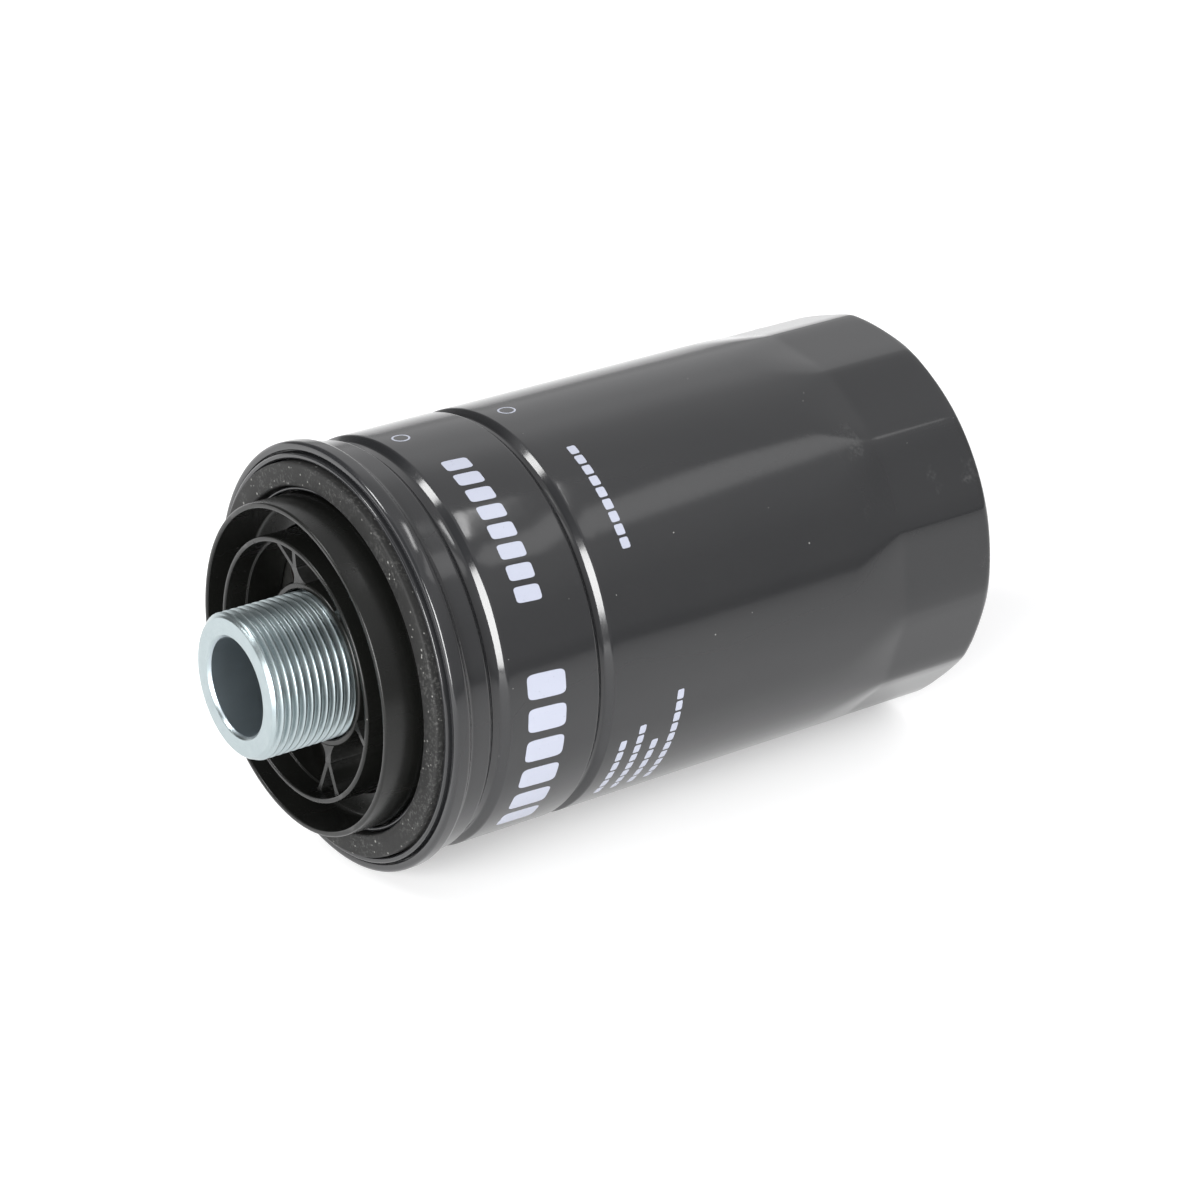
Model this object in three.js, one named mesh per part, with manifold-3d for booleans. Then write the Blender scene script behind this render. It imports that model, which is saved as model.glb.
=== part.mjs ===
// Spin-on oil filter with a male threaded nipple, lying on its side.
// Millimetres, +Z up. The filter's axis runs along +Y, from the nipple to the closed end.
// Inside the assembly group every length is a station: the distance along the axis from the
// nipple's end face. Profiles are lists of [radius, station] points turned about that axis.

import * as THREE from "three";
import { mergeVertices } from "three/addons/utils/BufferGeometryUtils.js";
import Module from "manifold-3d";

const wasm = await Module();
wasm.setup();

// ---------------------------------------------------------------- overall sizes
const TOTAL_LENGTH = 142; // nipple's end face to the closed end
const CAN_RADIUS = 38;
const CAN_SHEET = 0.7; // wall of the drawn steel can
const CLEARANCE = 0.3; // between pieces that touch
const SEAT_GAP = 0.35; // between a ring and the groove it sits in

// ---------------------------------------------------------------- nipple
const THREAD_RADIUS = 13.5; // M27, major
const THREAD_PITCH = 1.5;
const THREAD_DEPTH = 0.85;
const THREAD_TURNS = 11;
const THREAD_LEAD_IN = 1.2; // end face to the first crest
const NIPPLE_CHAMFER = 0.9;
const BORE_RADIUS = 9;
const BORE_CHAMFER = 0.5;
const NIPPLE_TAIL_WALL = 2; // wall of the plain tail inside the can
const NIPPLE_REACH = 18.4; // nipple's end face to the gasket's sealing face

// ---------------------------------------------------------------- gasket and rolled seam
const GASKET_THICKNESS = 4;
const GASKET_WIDTH = 4.3;
const GASKET_INSET = 1.8; // can's radius to the gasket's outer radius
const GASKET_ROUNDING = 0.4;
const COVER_SHEET = 0.8; // seam cover's floor and edge
const COVER_LIP = 0.7; // seam cover's inner lip
const COVER_LIP_SETBACK = 1.2; // lips stand this far behind the sealing face
const SEAM_PROUD = 1.5; // rolled seam's radius beyond the can's
const SEAM_SETBACK = 1.9; // sealing face to the front of the rolled seam
const SEAM_LIP_OVERLAP = 1.6; // width of the seam's turned-in lip
const SEAM_CORNER = 0.9;

// ---------------------------------------------------------------- base plate
const PLATE_THICKNESS = 4;
const PLATE_EDGE_GAP = 0.5;
const INLET_HOLES = 8;
const INLET_SHARE = 0.63; // an inlet hole's width within the window over it

// ---------------------------------------------------------------- can's beads and closed end
const BEAD_GAP = 0.7; // base plate's back to the neck bead
const NECK_BEAD_WIDTH = 3.7;
const NECK_BEAD_DEPTH = 1.2;
const BEAD_SLOPE = 1; // length of each sloping side of a bead
const BAND_LENGTH = 19.1; // plain band between the two beads
const BODY_BEAD_WIDTH = 2.9;
const BODY_BEAD_DEPTH = 1;
const END_ROUNDING = 3.5;
const END_LAND = 8.5; // flat ring between the end's rounding and its dish
const END_DISH_DEPTH = 0.8;
const FLATS = 14; // wrench flats round the closed end
const FLAT_DEPTH = 0.85; // how far a flat's middle lies inside the can's radius
const FLATS_LENGTH = 21; // full-depth length, measured from the closed end
const FLATS_RUNOUT = 8; // length over which the flats fade into the can

// ---------------------------------------------------------------- moulded collar and spider
const COLLAR_STANDOFF = 6.6; // collar's front edge ahead of the sealing face
const COLLAR_WALL = 1.1;
const COLLAR_ROUNDING = 0.3;
const ANNULUS_WIDTH = 5; // collar's inner wall to the spider ring
const ANNULUS_DEPTH = 8.7;
const ANNULUS_FLOOR = 1.5;
const RING_WALL = 1;
const RING_STEP_DEPTH = 4.4; // ring's front to the step inside it
const RING_STEP = 0.4;
const RING_SETBACK = 0.1; // ring's front behind the collar's
const HUB_WALL = 1.3;
const HUB_SETBACK = 4.2; // hub's front behind the ring's
const RIB_SETBACK = 2.6; // ribs' front behind the ring's, at the ring
const RIB_WIDTH = 1;
const STEM_WIDTH = 1.8;
const FORK_SHARE = 0.28; // where a forked rib splits, from the hub to the ring
const FORK_SPREAD = 8; // degrees from a forked rib's middle to each foot
const FORKED_RIBS = [112, 202, 292]; // degrees from +X towards +Z
const PLAIN_RIBS = [63, -19];

// ---------------------------------------------------------------- anti-drainback valve
const FLAP_THICKNESS = 1.5;
const FLAP_LIP = 0.8;
const FLAP_COVER = 2.2; // flap's reach beyond the inlet holes
const FLAP_TRAVEL = 1.5;
const RETAINER_THICKNESS = 1;
const RETAINER_WIDTH = 6.5;

// ---------------------------------------------------------------- filter element
const OIL_GAP = 3.3; // can's inner wall to the end caps
const CAP_SHEET = 0.8;
const CAP_RIM = 5; // height of an end cap's turned rim
const ADHESIVE_THICKNESS = 2;
const NECK_SEAL_LENGTH = 4.5;
const NECK_SEAL_WALL = 2.9;
const NECK_LIP = 1.2;
const TUBE_WALL = 0.7;
const TUBE_HOLES_ROUND = 6;
const TUBE_HOLE_ROWS = 4;
const TUBE_HOLE_RADIUS = 2.2;
const PLEATS = 40;
const PAPER = 0.7;
const PAPER_GAP = 0.12; // half the gap inside a fold
const MEDIA_TO_TUBE = 1;
const MEDIA_TO_RIM = 0.4;
const CLIP_SHEET = 0.4;
const CLIP_DEPTH = 4.5;
const CLIP_OPENING = 1.35; // half the clip's inner width
const ELEMENT_FLOAT = 1; // travel against the retention spring

// ---------------------------------------------------------------- bypass valve
const CAGE_LENGTH = 19.8;
const CAGE_WALL = 1;
const CAGE_FLANGE = 2.3; // flange's reach beyond the cage's wall
const CAGE_WINDOW_WIDTH = 10;
const CAGE_WINDOW_MARGIN = 3;
const SEAT_RADIUS = 8;
const SEAT_WIDTH = 3.5;
const SEAT_THICKNESS = 1;
const POPPET_THICKNESS = 1;
const POPPET_OVERLAP = 2.5;
const POPPET_GAP = 1.7; // poppet's edge to the cage
const STEM_RADIUS = 1.5;
const STEM_TAIL = 4.5; // stem beyond the cage's end, with the valve closed
const STEM_TIP = 1;
const STEM_CLIP_THICKNESS = 1.2;
const STEM_CLIP_WIDTH = 1.6;
const BYPASS_COIL_INSET = 1.8; // seat's radius to the spring's mean radius
const BYPASS_WIRE = 1.2;
const BYPASS_TURNS = 6;

// ---------------------------------------------------------------- retention spring
const RETENTION_LENGTH = 19.4;
const RETENTION_COIL_RADIUS = 15;
const RETENTION_WIRE = 2;
const RETENTION_TURNS = 4.5;
const SPRING_SEAT_SHEET = 0.8;
const SPRING_SEAT_RIM = 3.3;

// ---------------------------------------------------------------- facets round each piece
const CAN_SIDES = 24; // one lies flat on the ground
const RING_SIDES = 36;
const SMALL_SIDES = 24;
const WIRE_SIDES = 6;
const STEPS_PER_TURN = 10;

// ---------------------------------------------------------------- derived radii
const canInner = CAN_RADIUS - CAN_SHEET;
const seamRadius = CAN_RADIUS + SEAM_PROUD;
const gasketOuter = CAN_RADIUS - GASKET_INSET;
const gasketInner = gasketOuter - GASKET_WIDTH;
const coverInner = gasketInner - SEAT_GAP - COVER_LIP;
const collarOuter = coverInner - SEAT_GAP;
const collarInner = collarOuter - COLLAR_WALL;
const ringOuter = collarInner - ANNULUS_WIDTH;
const ringInner = ringOuter - RING_WALL;
const hubInner = THREAD_RADIUS + CLEARANCE;
const hubOuter = hubInner + HUB_WALL;
const inletCircle = (hubOuter + ringInner) / 2;
const inletRadius = (INLET_SHARE * (ringInner - hubOuter)) / 2;
const dishRadius = CAN_RADIUS - END_ROUNDING - END_LAND;
const tailRadius = BORE_RADIUS + NIPPLE_TAIL_WALL;
const onTail = tailRadius + CLEARANCE;
const capRadius = canInner - OIL_GAP;
const mediaOuter = capRadius - CAP_SHEET - MEDIA_TO_RIM;
const poppetRadius = SEAT_RADIUS + POPPET_OVERLAP;
const cageInner = poppetRadius + POPPET_GAP;
const cageOuter = cageInner + CAGE_WALL;
const cageFlange = cageOuter + CAGE_FLANGE;
const tubeInner = cageFlange + CLEARANCE;
const tubeOuter = tubeInner + TUBE_WALL;
const mediaInner = tubeOuter + MEDIA_TO_TUBE;

// ---------------------------------------------------------------- derived stations
const gasketBack = NIPPLE_REACH + GASKET_THICKNESS;
const coverFloor = gasketBack + CLEARANCE;
const coverBack = coverFloor + COVER_SHEET;
const plateFront = coverBack + CLEARANCE;
const plateBack = plateFront + PLATE_THICKNESS;
const seamFront = NIPPLE_REACH + SEAM_SETBACK;
const seamSlotFront = seamFront + CAN_SHEET;
const seamSlotBack = seamSlotFront + COVER_SHEET + 2 * CLEARANCE;
const neckBead = plateBack + BEAD_GAP;
const band = neckBead + NECK_BEAD_WIDTH;
const bodyBead = band + BAND_LENGTH;
const body = bodyBead + BODY_BEAD_WIDTH;
const collarFront = NIPPLE_REACH - COLLAR_STANDOFF;
const ringFront = collarFront + RING_SETBACK;
const mouldingBack = plateFront - CLEARANCE;
const annulusFloor = collarFront + ANNULUS_DEPTH;
const flapFront = plateBack + CLEARANCE;
const retainerFront = flapFront + FLAP_THICKNESS + FLAP_TRAVEL + CLEARANCE;
const neckSealFront = retainerFront + RETAINER_THICKNESS + 2 * CLEARANCE;
const frontCapFront = neckSealFront + NECK_SEAL_LENGTH + CLEARANCE;
const frontCapBack = frontCapFront + CAP_SHEET;
const tailEnd = frontCapFront + ELEMENT_FLOAT + CLEARANCE;
const seatBack = TOTAL_LENGTH - END_DISH_DEPTH - CAN_SHEET - CLEARANCE;
const seatFront = seatBack - SPRING_SEAT_SHEET;
const retentionBack = seatFront - CLEARANCE;
const rearCapBack = retentionBack - RETENTION_LENGTH - CLEARANCE;
const rearCapFront = rearCapBack - CAP_SHEET;
const insideRearCap = rearCapFront - CLEARANCE;
const poppetBack = insideRearCap - SEAT_THICKNESS - CLEARANCE;
const poppetFront = poppetBack - POPPET_THICKNESS;
const cageFront = insideRearCap - CAGE_LENGTH;
const mediaFront = frontCapBack + ADHESIVE_THICKNESS + 2 * CLEARANCE;
const mediaBack = rearCapFront - ADHESIVE_THICKNESS - 2 * CLEARANCE;

// ---------------------------------------------------------------- solids and booleans

function toSolid(geometry) {
  const bare = geometry.clone();
  bare.deleteAttribute("normal");
  bare.deleteAttribute("uv");
  const merged = mergeVertices(bare, 1e-4);
  const index = merged.index.array;
  const triangles = [];
  for (let i = 0; i < index.length; i += 3) {
    const [a, b, c] = [index[i], index[i + 1], index[i + 2]];
    if (a !== b && b !== c && c !== a) triangles.push(a, b, c);
  }
  return new wasm.Manifold(
    new wasm.Mesh({
      numProp: 3,
      vertProperties: Float32Array.from(merged.attributes.position.array),
      triVerts: Uint32Array.from(triangles),
    }),
  );
}

function toGeometry(solid) {
  const mesh = solid.getMesh();
  const geometry = new THREE.BufferGeometry();
  const positions = Float32Array.from(mesh.vertProperties);
  geometry.setAttribute("position", new THREE.BufferAttribute(positions, 3));
  geometry.setIndex(new THREE.BufferAttribute(Uint32Array.from(mesh.triVerts), 1));
  geometry.computeVertexNormals();
  return geometry;
}

function joined(...geometries) {
  return toGeometry(geometries.map(toSolid).reduce((whole, piece) => whole.add(piece)));
}

function cut(geometry, ...tools) {
  return toGeometry(tools.map(toSolid).reduce((rest, tool) => rest.subtract(tool), toSolid(geometry)));
}

function common(a, b) {
  return toGeometry(toSolid(a).intersect(toSolid(b)));
}

// ---------------------------------------------------------------- shapes

// Twice the area inside a profile, negative when its points run the other way round.
function signedArea(profile) {
  return profile.reduce((sum, [r, s], i) => {
    const [r2, s2] = profile[(i + 1) % profile.length];
    return sum + r * s2 - r2 * s;
  }, 0);
}

// A closed profile turned about the axis, with one facet square to -Z.
function turned(profile, sides) {
  const loop = signedArea(profile) > 0 ? [...profile] : [...profile].reverse();
  loop.push(loop[0]);
  const points = loop.map(([r, s]) => new THREE.Vector2(r, s));
  return new THREE.LatheGeometry(points, sides, Math.PI / sides);
}

// A profile that starts and ends on the axis, listed from the low station to the high one.
function turnedSolid(profile, sides) {
  const points = profile.map(([r, s]) => new THREE.Vector2(r, s));
  return new THREE.LatheGeometry(points, sides, Math.PI / sides);
}

function washer(inner, outer, front, back, sides) {
  return turned([[inner, front], [outer, front], [outer, back], [inner, back]], sides);
}

// Points of an arc about [r, s], from one angle to another, in degrees from the +radius direction.
function arc(r, s, radius, from, to, steps) {
  return Array.from({ length: steps + 1 }, (_, i) => {
    const angle = THREE.MathUtils.degToRad(from + ((to - from) * i) / steps);
    return [r + radius * Math.cos(angle), s + radius * Math.sin(angle)];
  });
}

// Direction square to the axis at an angle in degrees from +X towards +Z.
function spoke(degrees, radius) {
  const angle = THREE.MathUtils.degToRad(degrees);
  return new THREE.Vector2(radius * Math.cos(angle), radius * Math.sin(angle));
}

// An upright bar seen end on as a strip from one point to another, square to the axis.
function bar(from, to, width, front, back) {
  const run = to.clone().sub(from);
  const geometry = new THREE.BoxGeometry(run.length(), back - front, width);
  geometry.rotateY(-Math.atan2(run.y, run.x));
  geometry.translate((from.x + to.x) / 2, (front + back) / 2, (from.y + to.y) / 2);
  return geometry;
}

class CoilCurve extends THREE.Curve {
  // A compression spring's centre line: its end turns lie almost flat.
  constructor(radius, wire, turns, front, back) {
    super();
    Object.assign(this, { radius, turns });
    this.low = front + wire / 2;
    this.high = back - wire / 2;
    this.closedPitch = wire * 1.12;
  }

  getPoint(t, target = new THREE.Vector3()) {
    const turn = t * this.turns;
    const active = (this.high - this.low - 2 * this.closedPitch) / (this.turns - 2);
    const climbing = THREE.MathUtils.clamp(turn - 1, 0, this.turns - 2);
    const resting = turn - climbing;
    const angle = 2 * Math.PI * turn;
    return target.set(
      this.radius * Math.sin(angle),
      this.low + climbing * active + resting * this.closedPitch,
      this.radius * Math.cos(angle),
    );
  }
}

function coilSpring(radius, wire, turns, front, back) {
  const section = new THREE.Shape(
    Array.from({ length: WIRE_SIDES }, (_, i) => spoke((i * 360) / WIRE_SIDES, wire / 2)),
  );
  return new THREE.ExtrudeGeometry(section, {
    steps: Math.round(turns * STEPS_PER_TURN),
    extrudePath: new CoilCurve(radius, wire, turns, front, back),
    curveSegments: 1,
  });
}

// An outline in the plane square to the axis, extruded from one station to another.
function extruded(shape, front, back) {
  const geometry = new THREE.ExtrudeGeometry(shape, { depth: back - front, bevelEnabled: false });
  geometry.rotateX(Math.PI / 2);
  geometry.translate(0, back, 0);
  return geometry;
}

// ---------------------------------------------------------------- casing

// Both sides of a pressed bead: its dip below the wall's radius, ends included.
function beadPoints(radius, start, width, depth) {
  return [
    [radius, start],
    [radius - depth, start + BEAD_SLOPE],
    [radius - depth, start + width - BEAD_SLOPE],
    [radius, start + width],
  ];
}

// A prism of wrench flats that opens out past the can's wall where the flats fade.
function flatsPrism(wallRadius) {
  const flatStart = TOTAL_LENGTH - FLATS_LENGTH;
  const toCorner = 1 / Math.cos(Math.PI / FLATS);
  const corner = (wallRadius - FLAT_DEPTH) * toCorner;
  const open = (wallRadius + SEAM_PROUD + 1) * toCorner;
  const rise = (FLATS_RUNOUT * (open - corner)) / (FLAT_DEPTH * toCorner);
  const profile = [
    [0, 0],
    [open, 0],
    [open, flatStart - rise],
    [corner, flatStart],
    [corner, TOTAL_LENGTH + 1],
    [0, TOTAL_LENGTH + 1],
  ];
  return turnedSolid(profile, FLATS);
}

function canShell() {
  const endRadius = CAN_RADIUS - END_ROUNDING;
  const innerEnd = TOTAL_LENGTH - CAN_SHEET;
  const innerRounding = END_ROUNDING - CAN_SHEET;
  const outside = [
    [0, seamFront],
    [seamRadius - SEAM_CORNER, seamFront],
    [seamRadius, seamFront + SEAM_CORNER],
    [seamRadius, seamSlotBack],
    [CAN_RADIUS, seamSlotBack + SEAM_PROUD],
    ...beadPoints(CAN_RADIUS, neckBead, NECK_BEAD_WIDTH, NECK_BEAD_DEPTH),
    ...beadPoints(CAN_RADIUS, bodyBead, BODY_BEAD_WIDTH, BODY_BEAD_DEPTH),
    ...arc(endRadius, TOTAL_LENGTH - END_ROUNDING, END_ROUNDING, 0, 90, 2),
    [dishRadius, TOTAL_LENGTH],
    [dishRadius - 1, TOTAL_LENGTH - END_DISH_DEPTH],
    [0, TOTAL_LENGTH - END_DISH_DEPTH],
  ];
  const inside = [
    [0, seamFront - 1],
    [seamRadius - SEAM_LIP_OVERLAP, seamFront - 1],
    [seamRadius - SEAM_LIP_OVERLAP, seamSlotFront],
    [seamRadius - CAN_SHEET, seamSlotFront],
    [seamRadius - CAN_SHEET, seamSlotBack],
    [canInner, seamSlotBack],
    ...beadPoints(canInner, neckBead, NECK_BEAD_WIDTH, NECK_BEAD_DEPTH),
    ...beadPoints(canInner, bodyBead, BODY_BEAD_WIDTH, BODY_BEAD_DEPTH),
    ...arc(endRadius, TOTAL_LENGTH - END_ROUNDING, innerRounding, 0, 90, 1),
    [dishRadius + CAN_SHEET, innerEnd],
    [dishRadius - 1 + CAN_SHEET, innerEnd - END_DISH_DEPTH],
    [0, innerEnd - END_DISH_DEPTH],
  ];
  const shell = common(turnedSolid(outside, CAN_SIDES), flatsPrism(CAN_RADIUS));
  const hollow = common(turnedSolid(inside, CAN_SIDES), flatsPrism(canInner));
  return cut(shell, hollow);
}

function seamCover() {
  const lipFront = NIPPLE_REACH + COVER_LIP_SETBACK;
  const edgeFront = seamSlotFront + CLEARANCE;
  const edgeBack = edgeFront + COVER_SHEET;
  const edgeRadius = seamRadius - CAN_SHEET - CLEARANCE;
  const rimOuter = seamRadius - SEAM_LIP_OVERLAP - SEAT_GAP;
  const grooveInner = gasketInner - SEAT_GAP;
  const grooveOuter = gasketOuter + SEAT_GAP;
  const waist = canInner - CLEARANCE;
  return turned(
    [
      [coverInner, coverBack],
      [coverInner, lipFront],
      [grooveInner, lipFront],
      [grooveInner, coverFloor],
      [grooveOuter, coverFloor],
      [grooveOuter, lipFront],
      [rimOuter, lipFront],
      [rimOuter, edgeFront],
      [edgeRadius, edgeFront],
      [edgeRadius, edgeBack],
      [waist, edgeBack],
      [waist, coverBack],
    ],
    CAN_SIDES,
  );
}

function gasket() {
  const r = GASKET_ROUNDING;
  return turned(
    [
      [gasketInner + r, NIPPLE_REACH],
      [gasketOuter - r, NIPPLE_REACH],
      [gasketOuter, NIPPLE_REACH + r],
      [gasketOuter, gasketBack],
      [gasketInner, gasketBack],
      [gasketInner, NIPPLE_REACH + r],
    ],
    CAN_SIDES,
  );
}

function basePlate() {
  const plate = washer(hubInner, canInner - PLATE_EDGE_GAP, plateFront, plateBack, CAN_SIDES);
  const holes = Array.from({ length: INLET_HOLES }, (_, i) => {
    const centre = spoke(((i + 0.5) * 360) / INLET_HOLES, inletCircle);
    const hole = new THREE.CylinderGeometry(inletRadius, inletRadius, PLATE_THICKNESS + 2, 12);
    return hole.translate(centre.x, (plateFront + plateBack) / 2, centre.y);
  });
  return cut(plate, ...holes);
}

function threadedNipple() {
  const rootRadius = THREAD_RADIUS - THREAD_DEPTH;
  const crests = Array.from({ length: THREAD_TURNS }, (_, i) => THREAD_LEAD_IN + i * THREAD_PITCH);
  const ridges = crests.flatMap((crest) => [
    [THREAD_RADIUS, crest],
    [rootRadius, crest + THREAD_PITCH / 2],
  ]);
  const reliefEnd = crests[THREAD_TURNS - 1] + 2 * THREAD_PITCH;
  return turned(
    [
      [BORE_RADIUS, BORE_CHAMFER],
      [BORE_RADIUS + BORE_CHAMFER, 0],
      [THREAD_RADIUS - NIPPLE_CHAMFER, 0],
      ...ridges,
      [rootRadius, reliefEnd - THREAD_PITCH / 2],
      [THREAD_RADIUS, reliefEnd],
      [THREAD_RADIUS, flapFront - CLEARANCE],
      [tailRadius, flapFront - CLEARANCE],
      [tailRadius, tailEnd],
      [BORE_RADIUS, tailEnd],
    ],
    SMALL_SIDES,
  );
}

// ---------------------------------------------------------------- moulded pieces in the mouth

function outerCollar() {
  const r = COLLAR_ROUNDING;
  return turned(
    [
      [collarInner, collarFront + r / 2],
      [collarInner + r / 2, collarFront],
      [collarOuter - r, collarFront],
      [collarOuter, collarFront + r],
      [collarOuter, mouldingBack],
      [collarInner, mouldingBack],
      [collarInner, annulusFloor + ANNULUS_FLOOR],
      [ringOuter + CLEARANCE, annulusFloor + ANNULUS_FLOOR],
      [ringOuter + CLEARANCE, annulusFloor],
      [collarInner, annulusFloor],
    ],
    RING_SIDES,
  );
}

function collarSeal() {
  const front = annulusFloor + ANNULUS_FLOOR + CLEARANCE;
  const inner = ringOuter + 2 * CLEARANCE;
  return washer(inner, collarInner - CLEARANCE, front, mouldingBack, RING_SIDES);
}

function forkedRib(angle, front, back) {
  const root = hubOuter - HUB_WALL / 2;
  const forkRadius = hubOuter + FORK_SHARE * (ringInner - hubOuter);
  const foot = ringInner + RING_WALL / 2;
  const fork = spoke(angle, forkRadius);
  return [
    bar(spoke(angle, root), spoke(angle, forkRadius + RIB_WIDTH / 2), STEM_WIDTH, front, back),
    bar(fork, spoke(angle - FORK_SPREAD, foot), RIB_WIDTH, front, back),
    bar(fork, spoke(angle + FORK_SPREAD, foot), RIB_WIDTH, front, back),
  ];
}

function plainRib(angle, front, back) {
  const root = hubOuter - HUB_WALL / 2;
  return bar(spoke(angle, root), spoke(angle, ringInner + RING_WALL / 2), RIB_WIDTH, front, back);
}

function innerSpider() {
  const hubFront = ringFront + HUB_SETBACK;
  const ribFront = ringFront + RIB_SETBACK;
  const step = ringFront + RING_STEP_DEPTH;
  const ring = turned(
    [
      [ringInner, ringFront],
      [ringOuter, ringFront],
      [ringOuter, mouldingBack],
      [ringInner - RING_STEP, mouldingBack],
      [ringInner - RING_STEP, step],
      [ringInner, step],
    ],
    RING_SIDES,
  );
  const hub = washer(hubInner, hubOuter, hubFront, mouldingBack, RING_SIDES);
  const ribs = [
    ...FORKED_RIBS.flatMap((angle) => forkedRib(angle, ribFront, mouldingBack)),
    ...PLAIN_RIBS.map((angle) => plainRib(angle, ribFront, mouldingBack)),
  ];
  // The ribs' front edges fall from the ring to the hub.
  const slope = turned(
    [
      [hubInner, ribFront - 1],
      [ringInner, ribFront - 1],
      [ringInner, ribFront],
      [hubOuter, hubFront],
      [hubInner, hubFront],
    ],
    RING_SIDES,
  );
  return joined(cut(joined(...ribs), slope), ring, hub);
}

// ---------------------------------------------------------------- filter element

function frontEndCap() {
  const neckInner = onTail + NECK_SEAL_WALL + CLEARANCE;
  const neckFront = neckSealFront + CLEARANCE;
  const neckOuter = neckInner + CAP_SHEET;
  return turned(
    [
      [neckInner, neckFront],
      [neckOuter, neckFront],
      [neckOuter, frontCapFront],
      [capRadius, frontCapFront],
      [capRadius, frontCapFront + CAP_RIM],
      [capRadius - CAP_SHEET, frontCapFront + CAP_RIM],
      [capRadius - CAP_SHEET, frontCapBack],
      [onTail + NECK_LIP, frontCapBack],
      [onTail + NECK_LIP, frontCapFront],
      [neckInner, frontCapFront],
    ],
    SMALL_SIDES,
  );
}

function rearEndCap() {
  return turned(
    [
      [SEAT_RADIUS - CLEARANCE, rearCapFront],
      [capRadius - CAP_SHEET, rearCapFront],
      [capRadius - CAP_SHEET, rearCapBack - CAP_RIM],
      [capRadius, rearCapBack - CAP_RIM],
      [capRadius, rearCapBack],
      [SEAT_RADIUS - CLEARANCE, rearCapBack],
    ],
    SMALL_SIDES,
  );
}

function adhesiveBead(front) {
  const inner = tubeOuter + CLEARANCE;
  const outer = capRadius - CAP_SHEET - CLEARANCE;
  return washer(inner, outer, front, front + ADHESIVE_THICKNESS, SMALL_SIDES);
}

// One side of the folded paper: a closed zigzag between tips and valleys of given half widths.
function foldedOutline(tipRadius, tipHalf, valleyRadius, valleyHalf) {
  const pitch = 360 / PLEATS;
  const degrees = (half, radius) => THREE.MathUtils.radToDeg(half / radius);
  return Array.from({ length: PLEATS }, (_, i) => {
    const tip = i * pitch;
    const valley = tip + pitch / 2;
    return [
      spoke(tip - degrees(tipHalf, tipRadius), tipRadius),
      spoke(tip + degrees(tipHalf, tipRadius), tipRadius),
      spoke(valley - degrees(valleyHalf, valleyRadius), valleyRadius),
      spoke(valley + degrees(valleyHalf, valleyRadius), valleyRadius),
    ];
  }).flat();
}

function pleatedMedia() {
  const wide = PAPER + PAPER_GAP;
  const paper = new THREE.Shape(foldedOutline(mediaOuter, wide, mediaInner + PAPER, PAPER_GAP));
  paper.holes.push(
    new THREE.Path(foldedOutline(mediaOuter - PAPER, PAPER_GAP, mediaInner, wide)),
  );
  return extruded(paper, mediaFront, mediaBack);
}

// A folded strip that closes the paper's seam over one outer fold, on the +X side.
function pleatClip() {
  const crown = mediaOuter + CLEARANCE;
  const tail = mediaOuter - CLIP_DEPTH;
  const outer = CLIP_OPENING + CLIP_SHEET;
  const strip = new THREE.Shape(
    [
      [tail, -outer],
      [crown + CLIP_SHEET, -outer],
      [crown + CLIP_SHEET, outer],
      [tail, outer],
      [tail, CLIP_OPENING],
      [crown, CLIP_OPENING],
      [crown, -CLIP_OPENING],
      [tail, -CLIP_OPENING],
    ].map(([x, z]) => new THREE.Vector2(x, z)),
  );
  return extruded(strip, mediaFront + CAP_RIM, mediaBack - CAP_RIM);
}

function centreTube() {
  const front = frontCapBack + CLEARANCE;
  const tube = washer(tubeInner, tubeOuter, front, insideRearCap, SMALL_SIDES);
  const rowPitch = (mediaBack - mediaFront) / TUBE_HOLE_ROWS;
  const drills = [];
  for (let row = 0; row < TUBE_HOLE_ROWS; row += 1) {
    for (let i = 0; i < TUBE_HOLES_ROUND / 2; i += 1) {
      const drill = new THREE.CylinderGeometry(TUBE_HOLE_RADIUS, TUBE_HOLE_RADIUS, 3 * tubeOuter, 6);
      drill.rotateZ(Math.PI / 2);
      drill.rotateY(((i + (row % 2) / 2) * 2 * Math.PI) / TUBE_HOLES_ROUND);
      drill.translate(0, mediaFront + (row + 0.5) * rowPitch, 0);
      drills.push(drill);
    }
  }
  return cut(tube, ...drills);
}

// ---------------------------------------------------------------- bypass valve

function bypassCage() {
  const stemHole = STEM_RADIUS + 0.4;
  const shell = turned(
    [
      [stemHole, cageFront],
      [cageOuter, cageFront],
      [cageOuter, insideRearCap - CAGE_WALL],
      [cageFlange, insideRearCap - CAGE_WALL],
      [cageFlange, insideRearCap],
      [cageInner, insideRearCap],
      [cageInner, cageFront + CAGE_WALL],
      [stemHole, cageFront + CAGE_WALL],
    ],
    SMALL_SIDES,
  );
  const windowLength = CAGE_LENGTH - 2 * CAGE_WINDOW_MARGIN;
  const windows = [0, 90].map((turn) => {
    const window = new THREE.BoxGeometry(4 * cageOuter, windowLength, CAGE_WINDOW_WIDTH);
    window.rotateY(THREE.MathUtils.degToRad(turn));
    return window.translate(0, cageFront + CAGE_LENGTH / 2, 0);
  });
  return cut(shell, ...windows);
}

function bypassPoppet() {
  const stemEnd = cageFront - STEM_TAIL;
  return turnedSolid(
    [
      [0, stemEnd],
      [STEM_RADIUS * 0.6, stemEnd],
      [STEM_RADIUS, stemEnd + STEM_TIP],
      [STEM_RADIUS, poppetFront],
      [poppetRadius, poppetFront],
      [poppetRadius, poppetBack],
      [0, poppetBack],
    ],
    SMALL_SIDES,
  );
}

function stemClip() {
  const inner = STEM_RADIUS + CLEARANCE;
  const front = cageFront - STEM_TAIL + STEM_TIP;
  return washer(inner, inner + STEM_CLIP_WIDTH, front, front + STEM_CLIP_THICKNESS, 16);
}

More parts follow.
